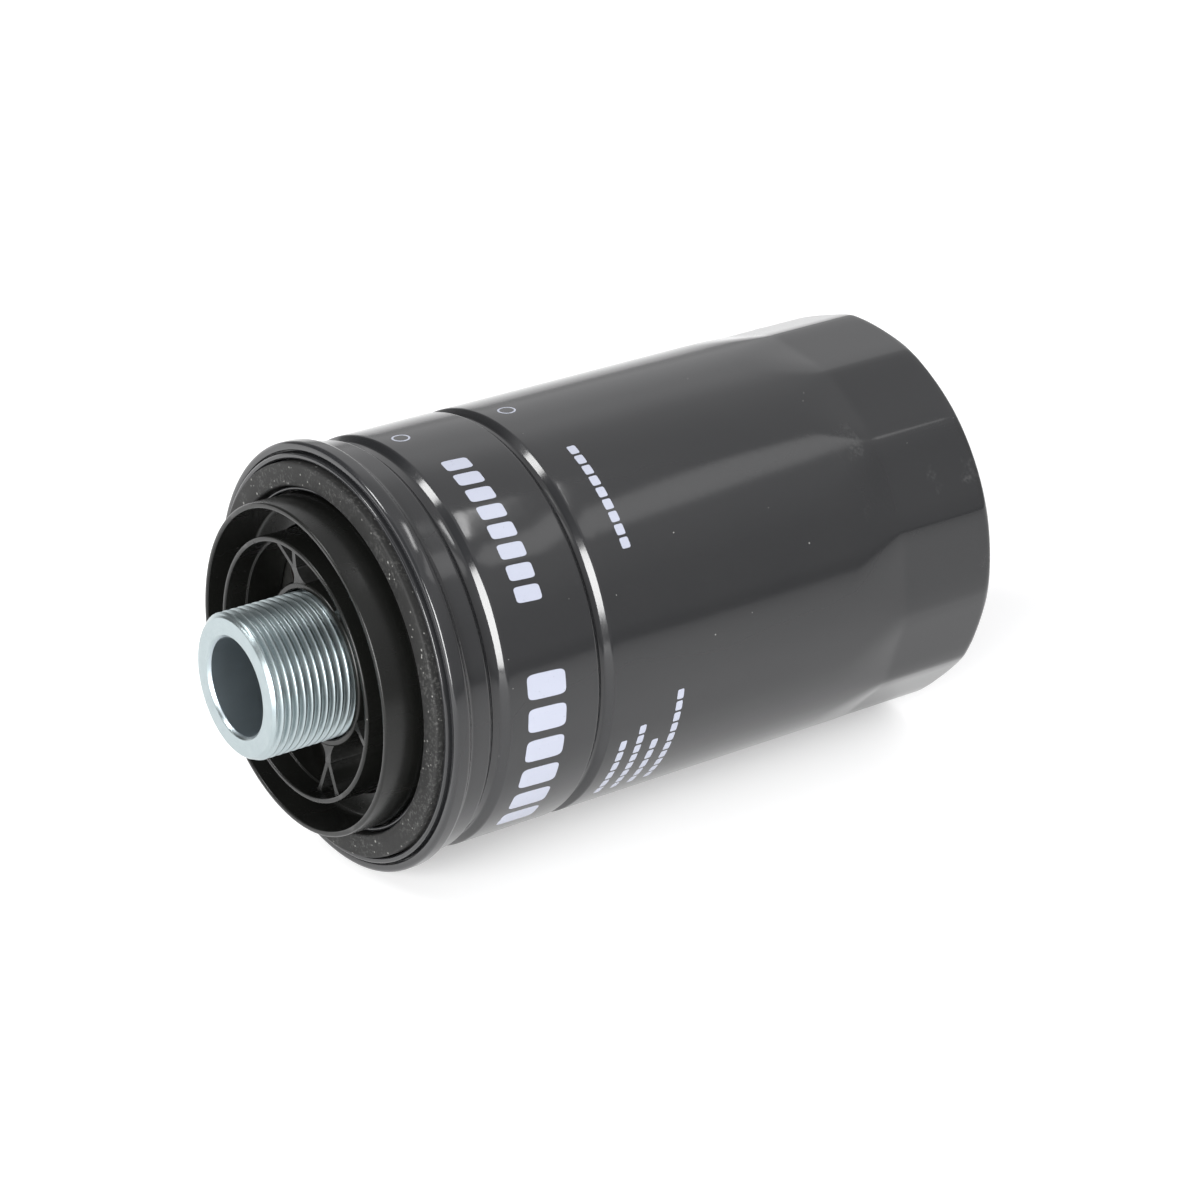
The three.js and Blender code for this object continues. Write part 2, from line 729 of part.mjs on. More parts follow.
function bypassSeatSeal() {
  const front = insideRearCap - SEAT_THICKNESS;
  return washer(SEAT_RADIUS, SEAT_RADIUS + SEAT_WIDTH, front, insideRearCap, SMALL_SIDES);
}

// ---------------------------------------------------------------- valve and springs at the ends

function drainbackValve() {
  const reach = inletCircle + inletRadius + FLAP_COVER;
  return turned(
    [
      [onTail, flapFront],
      [reach, flapFront],
      [reach, flapFront + FLAP_LIP],
      [inletCircle - inletRadius, flapFront + FLAP_THICKNESS],
      [onTail, flapFront + FLAP_THICKNESS],
    ],
    SMALL_SIDES,
  );
}

function drainbackRetainer() {
  const back = retainerFront + RETAINER_THICKNESS;
  return washer(onTail, onTail + RETAINER_WIDTH, retainerFront, back, SMALL_SIDES);
}

function neckSeal() {
  const back = neckSealFront + NECK_SEAL_LENGTH;
  return washer(onTail, onTail + NECK_SEAL_WALL, neckSealFront, back, SMALL_SIDES);
}

function springSeat() {
  const rim = RETENTION_COIL_RADIUS + RETENTION_WIRE / 2 + 2 * CLEARANCE;
  const centre = RETENTION_COIL_RADIUS - 3 * RETENTION_WIRE;
  return turned(
    [
      [centre, seatFront],
      [rim, seatFront],
      [rim, seatBack - SPRING_SEAT_RIM],
      [rim + SPRING_SEAT_SHEET, seatBack - SPRING_SEAT_RIM],
      [rim + SPRING_SEAT_SHEET, seatBack],
      [centre, seatBack],
    ],
    SMALL_SIDES,
  );
}

function bypassSpring() {
  const front = cageFront + CAGE_WALL + CLEARANCE;
  const back = poppetFront - CLEARANCE;
  return coilSpring(SEAT_RADIUS - BYPASS_COIL_INSET, BYPASS_WIRE, BYPASS_TURNS, front, back);
}

function retentionSpring() {
  const front = rearCapBack + CLEARANCE;
  return coilSpring(RETENTION_COIL_RADIUS, RETENTION_WIRE, RETENTION_TURNS, front, retentionBack);
}

// ---------------------------------------------------------------- materials

function material(color, roughness, metalness) {
  return new THREE.MeshStandardMaterial({ color, roughness, metalness });
}

const FINISHES = {
  blackPaint: () => material(0x15161a, 0.22, 0.1),
  plate: () => material(0x2a2b2a, 0.5, 0.6),
  zinc: () => material(0xb9c3ca, 0.3, 1),
  rubber: () => material(0x242424, 0.85, 0),
  blackPlastic: () => material(0x1d1e1e, 0.42, 0),
  silicone: () => material(0xb5512a, 0.6, 0),
  tinplate: () => material(0xa9abad, 0.38, 1),
  paper: () => material(0xd9b45a, 0.95, 0),
  adhesive: () => material(0x6f6a62, 0.55, 0),
  springSteel: () => material(0x8a8c90, 0.35, 1),
};

// ---------------------------------------------------------------- assembly

const casing = {
  can_shell: [canShell, "blackPaint"],
  seam_cover: [seamCover, "blackPaint"],
  gasket: [gasket, "rubber"],
  base_plate: [basePlate, "plate"],
  threaded_nipple: [threadedNipple, "zinc"],
  outer_collar: [outerCollar, "blackPlastic"],
  collar_seal: [collarSeal, "rubber"],
  inner_spider: [innerSpider, "blackPlastic"],
  drainback_retainer: [drainbackRetainer, "tinplate"],
  spring_seat: [springSeat, "tinplate"],
  retention_spring: [retentionSpring, "springSteel"],
};
const drainback = {
  drainback_valve: [drainbackValve, "silicone"],
};
const element = {
  neck_seal: [neckSeal, "rubber"],
  front_end_cap: [frontEndCap, "tinplate"],
  front_adhesive: [() => adhesiveBead(frontCapBack + CLEARANCE), "adhesive"],
  pleated_media: [pleatedMedia, "paper"],
  pleat_clip: [pleatClip, "tinplate"],
  centre_tube: [centreTube, "tinplate"],
  rear_adhesive: [() => adhesiveBead(mediaBack + CLEARANCE), "adhesive"],
  rear_end_cap: [rearEndCap, "tinplate"],
  bypass_cage: [bypassCage, "tinplate"],
  bypass_seat_seal: [bypassSeatSeal, "rubber"],
  bypass_spring: [bypassSpring, "springSteel"],
};
const bypass = {
  bypass_poppet: [bypassPoppet, "tinplate"],
  bypass_stem_clip: [stemClip, "springSteel"],
};

function groupOf(name, pieces) {
  const group = new THREE.Group();
  group.name = name;
  for (const [node, [build, finish]] of Object.entries(pieces)) {
    const mesh = new THREE.Mesh(build(), FINISHES[finish]());
    mesh.name = node;
    group.add(mesh);
  }
  return group;
}

const filter = new THREE.Group();
filter.add(groupOf("casing", casing));
filter.add(groupOf("drainback", drainback));
const elementGroup = groupOf("element", element);
elementGroup.add(groupOf("bypass", bypass));
filter.add(elementGroup);

// The filter lies on one facet of its rolled seam, with its middle over the origin.
const restHeight = seamRadius * Math.cos(Math.PI / CAN_SIDES);
filter.position.set(0, -TOTAL_LENGTH / 2, restHeight);

const part = new THREE.Group();
part.name = "oil_filter";
part.add(filter);

export default part;
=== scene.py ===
"""Looks of a spin-on oil filter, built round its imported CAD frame.

Lengths in the shapes are millimetres. A station is a distance along the axis from the nipple's
end face, a radius is square to it, and angles are degrees from +X towards +Z.
"""

import math

import bmesh
import bpy
import numpy as np
from mathutils import Matrix, Vector


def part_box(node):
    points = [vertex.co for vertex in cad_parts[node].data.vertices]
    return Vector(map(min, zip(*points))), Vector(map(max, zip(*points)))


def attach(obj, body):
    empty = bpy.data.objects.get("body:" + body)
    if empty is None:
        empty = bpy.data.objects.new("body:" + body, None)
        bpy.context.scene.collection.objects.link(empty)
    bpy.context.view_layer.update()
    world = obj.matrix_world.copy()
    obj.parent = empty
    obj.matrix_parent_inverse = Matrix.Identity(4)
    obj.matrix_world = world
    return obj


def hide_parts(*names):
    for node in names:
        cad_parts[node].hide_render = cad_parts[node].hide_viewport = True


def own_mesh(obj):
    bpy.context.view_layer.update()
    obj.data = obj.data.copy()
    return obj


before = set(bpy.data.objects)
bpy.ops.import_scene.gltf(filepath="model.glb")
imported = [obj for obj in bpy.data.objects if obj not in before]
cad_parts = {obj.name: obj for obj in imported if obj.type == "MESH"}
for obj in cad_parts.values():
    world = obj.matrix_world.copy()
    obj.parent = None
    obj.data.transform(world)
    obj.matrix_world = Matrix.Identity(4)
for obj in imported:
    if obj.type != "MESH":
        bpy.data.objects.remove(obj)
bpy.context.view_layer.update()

MM = 0.001

nipple_low, nipple_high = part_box("threaded_nipple")
ORIGIN = nipple_low.y  # row-frame Y of station 0
AXIS = (nipple_low.z + nipple_high.z) / 2  # height of the filter's axis

# ---------------------------------------------------------------- sizes the CAD boxes don't give
SHEET = 0.7
SEAM_PROUD = 1.5
SEAM_LIP = 1.6
NECK_BEAD = (28.5, 32.2, 1.2)  # front, back, depth
BODY_BEAD = (51.3, 54.2, 1.15)
FLATS = 14
FLAT_DEPTH = 0.85
FLATS_START = 121.0  # full depth from here to the closed end
FLATS_RUNOUT = 8.0
END_ROUNDING = 3.5
DISH_RADIUS = 26.0
DISH_DEPTH = 0.8

CAN_WALL = 38.0  # radius of the printed wall

THREAD_DEPTH = 0.85
THREAD_PITCH = 1.5
THREAD_END = 18.6
CHAMFER = 0.9

FORKED_RIBS = (112, 202, 292)
PLAIN_RIBS = (63, -19)
INLETS = 8
INLET_CIRCLE = 19.25
INLET_RADIUS = 2.6
PRESSED_SHEET = 0.8  # of the end caps and the spring seat
FOLDS = 60
PAPER = 0.5


def span(node):
    """(front station, back station, inner radius, outer radius) of a CAD node, in millimetres."""
    co = np.array([v.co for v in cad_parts[node].data.vertices])
    radii = np.hypot(co[:, 0], co[:, 2] - AXIS) / MM
    stations = (co[:, 1] - ORIGIN) / MM
    return stations.min(), stations.max(), radii.min(), radii.max()


# ---------------------------------------------------------------- mesh building

TINY = 1e-6
NEARLY_STRAIGHT = math.radians(88)


def rounded(corners, steps=4):
    """Points of a closed profile of (radius, station[, fillet]) corners, each fillet as an arc."""
    points = []
    for i, corner in enumerate(corners):
        p = np.array(corner[:2], float)
        before = np.array(corners[i - 1][:2], float) - p
        after = np.array(corners[(i + 1) % len(corners)][:2], float) - p
        fillet = corner[2] if len(corner) > 2 else 0
        la, lb = np.linalg.norm(before), np.linalg.norm(after)
        if not fillet or min(la, lb) < TINY:
            points.append(tuple(p))
            continue
        ua, ub = before / la, after / lb
        half = math.acos(max(-1.0, min(1.0, float(ua @ ub)))) / 2
        if half > NEARLY_STRAIGHT:
            points.append(tuple(p))
            continue
        reach = min(fillet / math.tan(half), 0.49 * la, 0.49 * lb)
        radius = reach * math.tan(half)
        middle = ua + ub
        centre = p + middle / np.linalg.norm(middle) * radius / math.sin(half)
        start, end = p + ua * reach - centre, p + ub * reach - centre
        turn = math.atan2(start[0] * end[1] - start[1] * end[0], float(start @ end))
        for k in range(steps + 1):
            c, s = math.cos(turn * k / steps), math.sin(turn * k / steps)
            points.append((centre[0] + c * start[0] - s * start[1], centre[1] + s * start[0] + c * start[1]))
    return points


def placed(radius, angle, station):
    return at(radius * math.cos(angle), station, radius * math.sin(angle))


def at(x, station, z):
    return (x * MM, ORIGIN + station * MM, AXIS + z * MM)


def strip(profile, segments, shape=None, closed=True):
    """A profile turned about the axis: vertices and faces. shape(radius, angle, station, row) bends it."""
    vertices, faces, rows = [], [], []
    for row, (radius, station) in enumerate(profile):
        if radius < TINY:
            rows.append([len(vertices)] * segments)
            vertices.append(placed(0, 0, station))
            continue
        rows.append(list(range(len(vertices), len(vertices) + segments)))
        for k in range(segments):
            angle = 2 * math.pi * k / segments
            r = shape(radius, angle, station, row) if shape else radius
            vertices.append(placed(r, angle, station))
    count = len(profile) if closed else len(profile) - 1
    for i in range(count):
        a, b = rows[i], rows[(i + 1) % len(profile)]
        if a[0] == a[-1] and b[0] == b[-1]:
            continue
        for k in range(segments):
            n = (k + 1) % segments
            faces.append(tuple(dict.fromkeys([a[k], a[n], b[n], b[k]])))
    return vertices, faces


def mesh_of(name, vertices, faces):
    """A mesh with doubled points merged and its faces turned outwards."""
    mesh = bpy.data.meshes.new(name)
    mesh.from_pydata(vertices, [], faces)
    bm = bmesh.new()
    bm.from_mesh(mesh)
    bmesh.ops.remove_doubles(bm, verts=bm.verts, dist=1e-7)
    bmesh.ops.dissolve_degenerate(bm, edges=bm.edges, dist=1e-8)
    bmesh.ops.recalc_face_normals(bm, faces=bm.faces)
    bm.to_mesh(mesh)
    bm.free()
    return mesh


def finished(obj, sharp=32):
    obj.data.shade_smooth()
    obj.data.set_sharp_from_angle(angle=math.radians(sharp))
    return obj


def loose(name, mesh):
    obj = bpy.data.objects.new(name, mesh)
    bpy.context.scene.collection.objects.link(obj)
    return obj


def piece(name, mesh, body, look, node):
    """A finished object in a CAD node's place. A look is a material slot name, which is not used, and its
    material.
    """
    slot, material = look
    obj = loose(name, mesh)
    obj.data.materials.clear()
    obj.data.materials.append(material)
    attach(obj, body)
    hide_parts(node)
    return finished(obj)


def turned_mesh(name, corners, segments, steps=4):
    return mesh_of(name, *strip(rounded(corners, steps), segments))


def turned(name, segments, body, look, node, corners):
    return piece(name, turned_mesh(name, corners, segments), body, look, node)


def combine(target, tools, operation):
    """Joins or cuts mesh objects into target's mesh, and removes the tools."""
    for tool in tools:
        modifier = target.modifiers.new("combine", "BOOLEAN")
        modifier.operation = operation
        modifier.solver = "EXACT"
        modifier.object = tool
    graph = bpy.context.evaluated_depsgraph_get()
    made = bpy.data.meshes.new_from_object(target.evaluated_get(graph))
    target.modifiers.clear()
    old = target.data
    target.data = made
    bpy.data.meshes.remove(old)
    for tool in tools:
        bpy.data.objects.remove(tool)
    return target


def joined_tools(tools):
    """Separate closed shapes as one mesh object, so that one boolean cuts them all."""
    bm = bmesh.new()
    for tool in tools:
        bm.from_mesh(tool.data)
        old = tool.data
        bpy.data.objects.remove(tool)
        bpy.data.meshes.remove(old)
    mesh = bpy.data.meshes.new("tools")
    bm.to_mesh(mesh)
    bm.free()
    return loose("tools", mesh)


def prism(name, near, far):
    """A closed bar between two outlines that have the same number of points."""
    n = len(near)
    faces = [tuple(range(n)), tuple(range(2 * n - 1, n - 1, -1))]
    faces += [(i, (i + 1) % n, n + (i + 1) % n, n + i) for i in range(n)]
    return mesh_of(name, near + far, faces)


def extruded(name, outline, front, back):
    """A closed outline of (x, z) points between two stations; the front may be a function of a point."""
    front_of = front if callable(front) else lambda p: front
    near = [at(x, front_of((x, z)), z) for x, z in outline]
    return prism(name, near, [at(x, back, z) for x, z in outline])


def swept(name, path, radius, sides):
    """The mesh of a round wire along a list of (x, station, z) points, closed at both ends."""
    points = np.array(path, float)
    tangents = np.gradient(points, axis=0)
    tangents /= np.linalg.norm(tangents, axis=1)[:, None]
    vertices, faces = [], []
    for p, t in zip(points, tangents):
        out = np.array([p[0], 0, p[2]])
        out /= np.linalg.norm(out)
        out -= (out @ t) * t
        out /= np.linalg.norm(out)
        side = np.cross(t, out)
        for k in range(sides):
            a = 2 * math.pi * k / sides
            vertices.append(at(*(p + radius * (math.cos(a) * out + math.sin(a) * side))))
    for i in range(len(points) - 1):
        for k in range(sides):
            a, b = i * sides + k, i * sides + (k + 1) % sides
            faces.append((a, b, b + sides, a + sides))
    faces.append(tuple(range(sides)))
    last = (len(points) - 1) * sides
    faces.append(tuple(range(last + sides - 1, last - 1, -1)))
    return mesh_of(name, vertices, faces)


# ---------------------------------------------------------------- materials


class Nodes:
    """The shader nodes of a material or a world."""

    def __init__(self, owner):
        owner.use_nodes = True
        self.tree = owner.node_tree
        self.tree.nodes.clear()

    def node(self, kind, settings=None, **inputs):
        made = self.tree.nodes.new("ShaderNode" + kind)
        for key, value in (settings or {}).items():
            setattr(made, key, value)
        for key, value in inputs.items():
            self.put(made.inputs[key.replace("_", " ")], value)
        return made

    def link(self, a, b):
        self.tree.links.new(a, b)

    def put(self, socket, value):
        if isinstance(value, bpy.types.NodeSocket):
            self.link(value, socket)
        else:
            socket.default_value = value

    def fed(self, made, *values):
        """The first output of a node whose first inputs are given in order."""
        for socket, value in zip(made.inputs, values):
            self.put(socket, value)
        return made.outputs[0]

    def math(self, operation, *values):
        return self.fed(self.node("Math", {"operation": operation}), *values)

    def smooth(self, value, low, high, to_low=0.0, to_high=1.0):
        made = self.node("MapRange", {"interpolation_type": "SMOOTHSTEP"})
        return self.fed(made, value, low, high, to_low, to_high)

    def both(self, *values):
        made = values[0]
        for value in values[1:]:
            made = self.math("MULTIPLY", made, value)
        return made


class Finish(Nodes):
    """A material whose nodes work in millimetres about the filter's axis."""

    def __init__(self, name, metallic=0.0, **constants):
        self.material = bpy.data.materials.new(name)
        super().__init__(self.material)
        self.shader = self.node("BsdfPrincipled", Metallic=metallic, **constants)
        self.link(self.shader.outputs[0], self.node("OutputMaterial").inputs[0])
        place = self.node("TexCoord").outputs["Object"]
        centred = self.vector("SUBTRACT", place, (0, ORIGIN, AXIS))
        scaled = self.node("VectorMath", {"operation": "SCALE"}, Scale=1 / MM)
        self.point = self.fed(scaled, centred)
        x, self.station, z = self.node("SeparateXYZ", Vector=self.point).outputs
        self.radius = self.length(x, z)
        self.angle = self.math("MULTIPLY", self.math("ARCTAN2", z, x), 180 / math.pi)

    def length(self, a, b):
        return self.math("SQRT", self.math("ADD", self.math("POWER", a, 2), self.math("POWER", b, 2)))

    def vector(self, operation, *values):
        return self.fed(self.node("VectorMath", {"operation": operation}), *values)

    def noise(self, scale, detail=3.0, roughness=0.55, stretch=None):
        place = self.vector("MULTIPLY", self.point, stretch) if stretch else self.point
        made = self.node("TexNoise", Vector=place, Scale=scale, Detail=detail, Roughness=roughness)
        return made.outputs["Fac"]

    def lines(self, scale):
        """Noise that changes only along a turned surface, as the marks of a tool do."""
        along = self.math("ADD", self.radius, self.station)
        made = self.node("TexNoise", {"noise_dimensions": "1D"}, W=along, Scale=scale, Detail=4.0)
        made.inputs["Roughness"].default_value = 0.7
        return made.outputs["Fac"]

    def mix(self, share, a, b):
        made = self.node("Mix", {"data_type": "RGBA"})
        for name, value in (("Factor_Float", share), ("A_Color", a), ("B_Color", b)):
            socket = next(s for s in made.inputs if s.identifier == name)
            self.put(socket, (*value, 1.0) if isinstance(value, tuple) else value)
        return next(s for s in made.outputs if s.identifier == "Result_Color")

    def covered(self, colour, share, strength, over):
        return self.mix(self.math("MULTIPLY", share, strength), colour, over)

    def plus(self, base, value, strength):
        return self.math("ADD", base, self.math("MULTIPLY", value, strength))

    def either(self, *values):
        made = values[0]
        for value in values[1:]:
            made = self.math("MAXIMUM", made, value)
        return made

    def bump(self, height, distance, strength=1.0, after=None):
        made = self.node("Bump", Height=height, Distance=distance * MM, Strength=strength)
        if after is not None:
            self.link(after, made.inputs["Normal"])
        return made.outputs[0]

    def specks(self, scale, size, share):
        """Small round specks: cells of one speck each, of which only a share show."""
        cells = self.node("TexVoronoi", {"feature": "F1"}, Vector=self.point, Scale=scale, Randomness=1.0)
        split = self.node("SeparateColor", Color=cells.outputs["Color"])
        chosen = self.math("LESS_THAN", split.outputs[0], share)
        reach = self.math("MULTIPLY", split.outputs[1], size * scale)
        return self.both(chosen, self.math("LESS_THAN", cells.outputs["Distance"], reach))

    def done(self, colour, roughness, normal):
        self.put(self.shader.inputs["Base Color"], colour)
        self.put(self.shader.inputs["Roughness"], roughness)
        self.link(normal, self.shader.inputs["Normal"])
        return self.material


def window(f, value, low, high):
    return f.both(f.math("GREATER_THAN", value, low), f.math("LESS_THAN", value, high))


def blocks(f, first, count, low, high, pitch, share, slant=0.0):
    """A row of printed blocks with round corners, from one angle on, between two stations."""
    leaned = f.plus(f.angle, f.station, slant)
    cell = f.math("DIVIDE", f.math("SUBTRACT", leaned, first + slant * low), pitch)
    across = f.math("SUBTRACT", f.math("MULTIPLY", f.math("FRACT", cell), 2 / share), 1.0)
    along = f.math("DIVIDE", f.math("SUBTRACT", f.station, (low + high) / 2), (high - low) / 2)
    sides = [f.math("POWER", f.math("ABSOLUTE", value), 6) for value in (across, along)]
    return f.both(window(f, cell, 0, count), f.math("LESS_THAN", f.math("ADD", *sides), 1.0))


def ring_mark(f, angle, station, radius, line):
    across = f.math("MULTIPLY", f.math("SUBTRACT", f.angle, angle), CAN_WALL * math.pi / 180)
    away = f.length(across, f.math("SUBTRACT", f.station, station))
    return f.math("LESS_THAN", f.math("ABSOLUTE", f.math("SUBTRACT", away, radius)), line)


def black_paint(name, printed=True):
    f = Finish(name, Specular_IOR_Level=0.5, IOR=1.5)
    peel = f.noise(0.45, detail=2.0)
    drawn = f.noise(0.05, detail=1.0, stretch=(1, 0.35, 1))
    tone = f.noise(0.03, detail=2.0)
    colour = f.mix(tone, (0.0125, 0.013, 0.0145), (0.019, 0.0192, 0.020))
    dust = f.either(f.specks(0.22, 0.16, 0.3), f.specks(0.6, 0.09, 0.12))
    rub = f.smooth(f.noise(0.09, detail=4.0), 0.62, 0.74)
    handled = f.both(rub, f.smooth(f.station, 110, 122), f.smooth(f.noise(1.6, detail=4.0), 0.35, 0.7))
    colour = f.covered(colour, handled, 0.6, (0.07, 0.07, 0.07))
    roughness = f.plus(0.09, f.noise(0.8, detail=4.0), 0.06)
    roughness = f.plus(roughness, handled, 0.16)
    if printed:
        marks = f.either(
            blocks(f, -38, 6, 36.2, 44.2, 9.6, 0.74, 0.1),
            blocks(f, 36, 8, 37.4, 42.6, 6.0, 0.72, 0.1),
            ring_mark(f, 99, 36.5, 1.5, 0.18),
            ring_mark(f, 99, 59, 1.5, 0.18),
            blocks(f, 42, 9, 61.2, 63.0, 3.8, 0.8),
            blocks(f, -38, 6, 57.5, 58.9, 4.3, 0.84),
            blocks(f, -38, 8, 61.2, 62.6, 3.7, 0.82),
            blocks(f, -38, 5, 64.9, 66.3, 4.5, 0.84),
            blocks(f, -38, 10, 68.6, 70.0, 3.8, 0.82),
        )
        wall = f.math("GREATER_THAN", f.radius, CAN_WALL - 1.5)
        ink = f.both(marks, wall, f.smooth(f.noise(3.0, detail=3.0), 0.18, 0.34))
        colour = f.mix(ink, colour, (0.40, 0.42, 0.50))
        roughness = f.plus(roughness, ink, 0.25)
    colour = f.covered(colour, dust, 0.5, (0.5, 0.5, 0.48))
    normal = f.bump(peel, 0.012, 0.5)
    normal = f.bump(drawn, 0.35, 0.5, normal)
    normal = f.bump(dust, 0.05, 0.5, normal)
    return f.done(colour, roughness, normal)


def gasket_rubber(name, dusty=1.0):
    f = Finish(name, Specular_IOR_Level=0.25)
    bloom = f.noise(0.12, detail=3.0)
    grain = f.noise(1.7, detail=6.0, roughness=0.75)
    colour = f.mix(bloom, (0.009, 0.009, 0.009), (0.02, 0.02, 0.0195))
    powder = f.both(f.smooth(grain, 0.5, 0.62), f.smooth(f.noise(0.1, detail=2.0), 0.36, 0.56))
    grit = f.either(f.specks(1.3, 0.18, 0.25 * dusty), f.specks(0.7, 0.26, 0.2 * dusty))
    colour = f.covered(colour, powder, 0.13 * dusty, (0.3, 0.3, 0.29))
    colour = f.covered(colour, grit, 0.42, (0.4, 0.4, 0.38))
    roughness = f.plus(0.55, grain, 0.25)
    normal = f.bump(grain, 0.05, 0.6)
    return f.done(colour, roughness, normal)


def black_plastic(name):
    f = Finish(name, Specular_IOR_Level=0.3, IOR=1.49)
    tone = f.noise(0.08, detail=3.0)
    fine = f.noise(4.0, detail=4.0)
    flow = f.noise(0.25, detail=3.0, stretch=(1, 0.3, 1))
    colour = f.mix(tone, (0.0035, 0.0037, 0.0033), (0.0075, 0.0077, 0.007))
    dust = f.specks(0.5, 0.1, 0.15)
    colour = f.covered(colour, dust, 0.5, (0.4, 0.4, 0.38))
    edge = f.node("NewGeometry").outputs["Pointiness"]
    worn = f.both(f.smooth(edge, 0.53, 0.62), f.noise(1.2, detail=4.0))
    colour = f.covered(colour, worn, 0.35, (0.1, 0.1, 0.1))
    roughness = f.plus(0.19, flow, 0.14)
    normal = f.bump(fine, 0.012, 0.5)
    normal = f.bump(flow, 0.06, 0.4, normal)
    return f.done(colour, roughness, normal)


def zinc(name):
    f = Finish(name, metallic=1.0)
    tone = f.noise(0.3, detail=4.0)
    colour = f.mix(tone, (0.30, 0.355, 0.37), (0.40, 0.455, 0.465))
    stain = f.smooth(f.noise(0.12, detail=5.0, roughness=0.65), 0.58, 0.75)
    colour = f.covered(colour, stain, 0.35, (0.26, 0.31, 0.36))
    turning = f.lines(9.0)
    grain = f.noise(5.0, detail=3.0)
    roughness = f.plus(0.19, turning, 0.12)
    roughness = f.plus(roughness, grain, 0.08)
    bore = f.math("LESS_THAN", f.radius, 9.3)
    colour = f.mix(bore, colour, (0.34, 0.385, 0.41))
    roughness = f.plus(roughness, bore, 0.1)
    normal = f.bump(turning, 0.012, 0.5)
    normal = f.bump(grain, 0.008, 0.4, normal)
    return f.done(colour, roughness, normal)


def plain_metal(name, dark, light, roughness, turned_lines=6.0):
    f = Finish(name, metallic=1.0)
    tone = f.noise(0.15, detail=4.0)
    colour = f.mix(tone, dark, light)
    turning = f.lines(turned_lines)
    smudge = f.noise(0.5, detail=4.0)
    rough = f.plus(roughness, smudge, 0.14)
    normal = f.bump(turning, 0.006, 0.5)
    return f.done(colour, rough, normal)


def silicone(name):
    f = Finish(name, Specular_IOR_Level=0.4, Subsurface_Weight=0.1, Subsurface_Scale=0.001)
    tone = f.noise(0.3, detail=3.0)
    colour = f.mix(tone, (0.50, 0.13, 0.05), (0.62, 0.2, 0.08))
    fine = f.noise(3.0, detail=4.0)
    rough = f.plus(0.42, fine, 0.2)
    return f.done(colour, rough, f.bump(fine, 0.01, 0.5))


def filter_paper(name):
    f = Finish(name, Specular_IOR_Level=0.25, Sheen_Weight=0.15, Sheen_Roughness=0.5)
    fibre = f.noise(2.4, detail=6.0, roughness=0.7, stretch=(1, 0.35, 1))
    blotch = f.noise(0.12, detail=3.0)
    colour = f.mix(blotch, (0.66, 0.44, 0.16), (0.78, 0.58, 0.27))
    colour = f.covered(colour, fibre, 0.3, (0.5, 0.32, 0.12))
    ridges = f.math("SINE", f.math("MULTIPLY", f.station, 2 * math.pi / 3.2))
    rough = f.plus(0.75, fibre, 0.15)
    normal = f.bump(fibre, 0.04, 0.6)
    return f.done(colour, rough, f.bump(ridges, 0.04, 0.4, normal))


def adhesive(name):
    f = Finish(name, Specular_IOR_Level=0.4)
    tone = f.noise(0.25, detail=4.0)
    colour = f.mix(tone, (0.28, 0.26, 0.23), (0.4, 0.38, 0.34))
    wave = f.noise(0.7, detail=2.0)
    rough = f.plus(0.4, tone, 0.2)
    return f.done(colour, rough, f.bump(wave, 0.15, 0.5))


# Looks: a material slot and its material.
PAINT = ("black_paint", black_paint("black_paint"))
SEAM_PAINT = ("seam_paint", black_paint("seam_paint", printed=False))
RUBBER = ("gasket_rubber", gasket_rubber("gasket_rubber"))
CLEAN_RUBBER = ("gasket_rubber", gasket_rubber("inner_rubber", dusty=0.1))
PLASTIC = ("black_plastic", black_plastic("black_plastic"))
ZINC = ("zinc", zinc("zinc"))
PLATE = ("plate_steel", plain_metal("plate_steel", (0.10, 0.10, 0.095), (0.17, 0.17, 0.16), 0.38))
TIN = ("tinplate", plain_metal("tinplate", (0.52, 0.52, 0.51), (0.66, 0.66, 0.64), 0.24))
WIRE = ("spring_steel", plain_metal("spring_steel", (0.26, 0.26, 0.27), (0.42, 0.42, 0.43), 0.28, 3.0))
SILICONE = ("silicone", silicone("silicone"))
PAPER_FINISH = ("filter_paper", filter_paper("filter_paper"))
ADHESIVE = ("adhesive", adhesive("adhesive"))

# ---------------------------------------------------------------- can


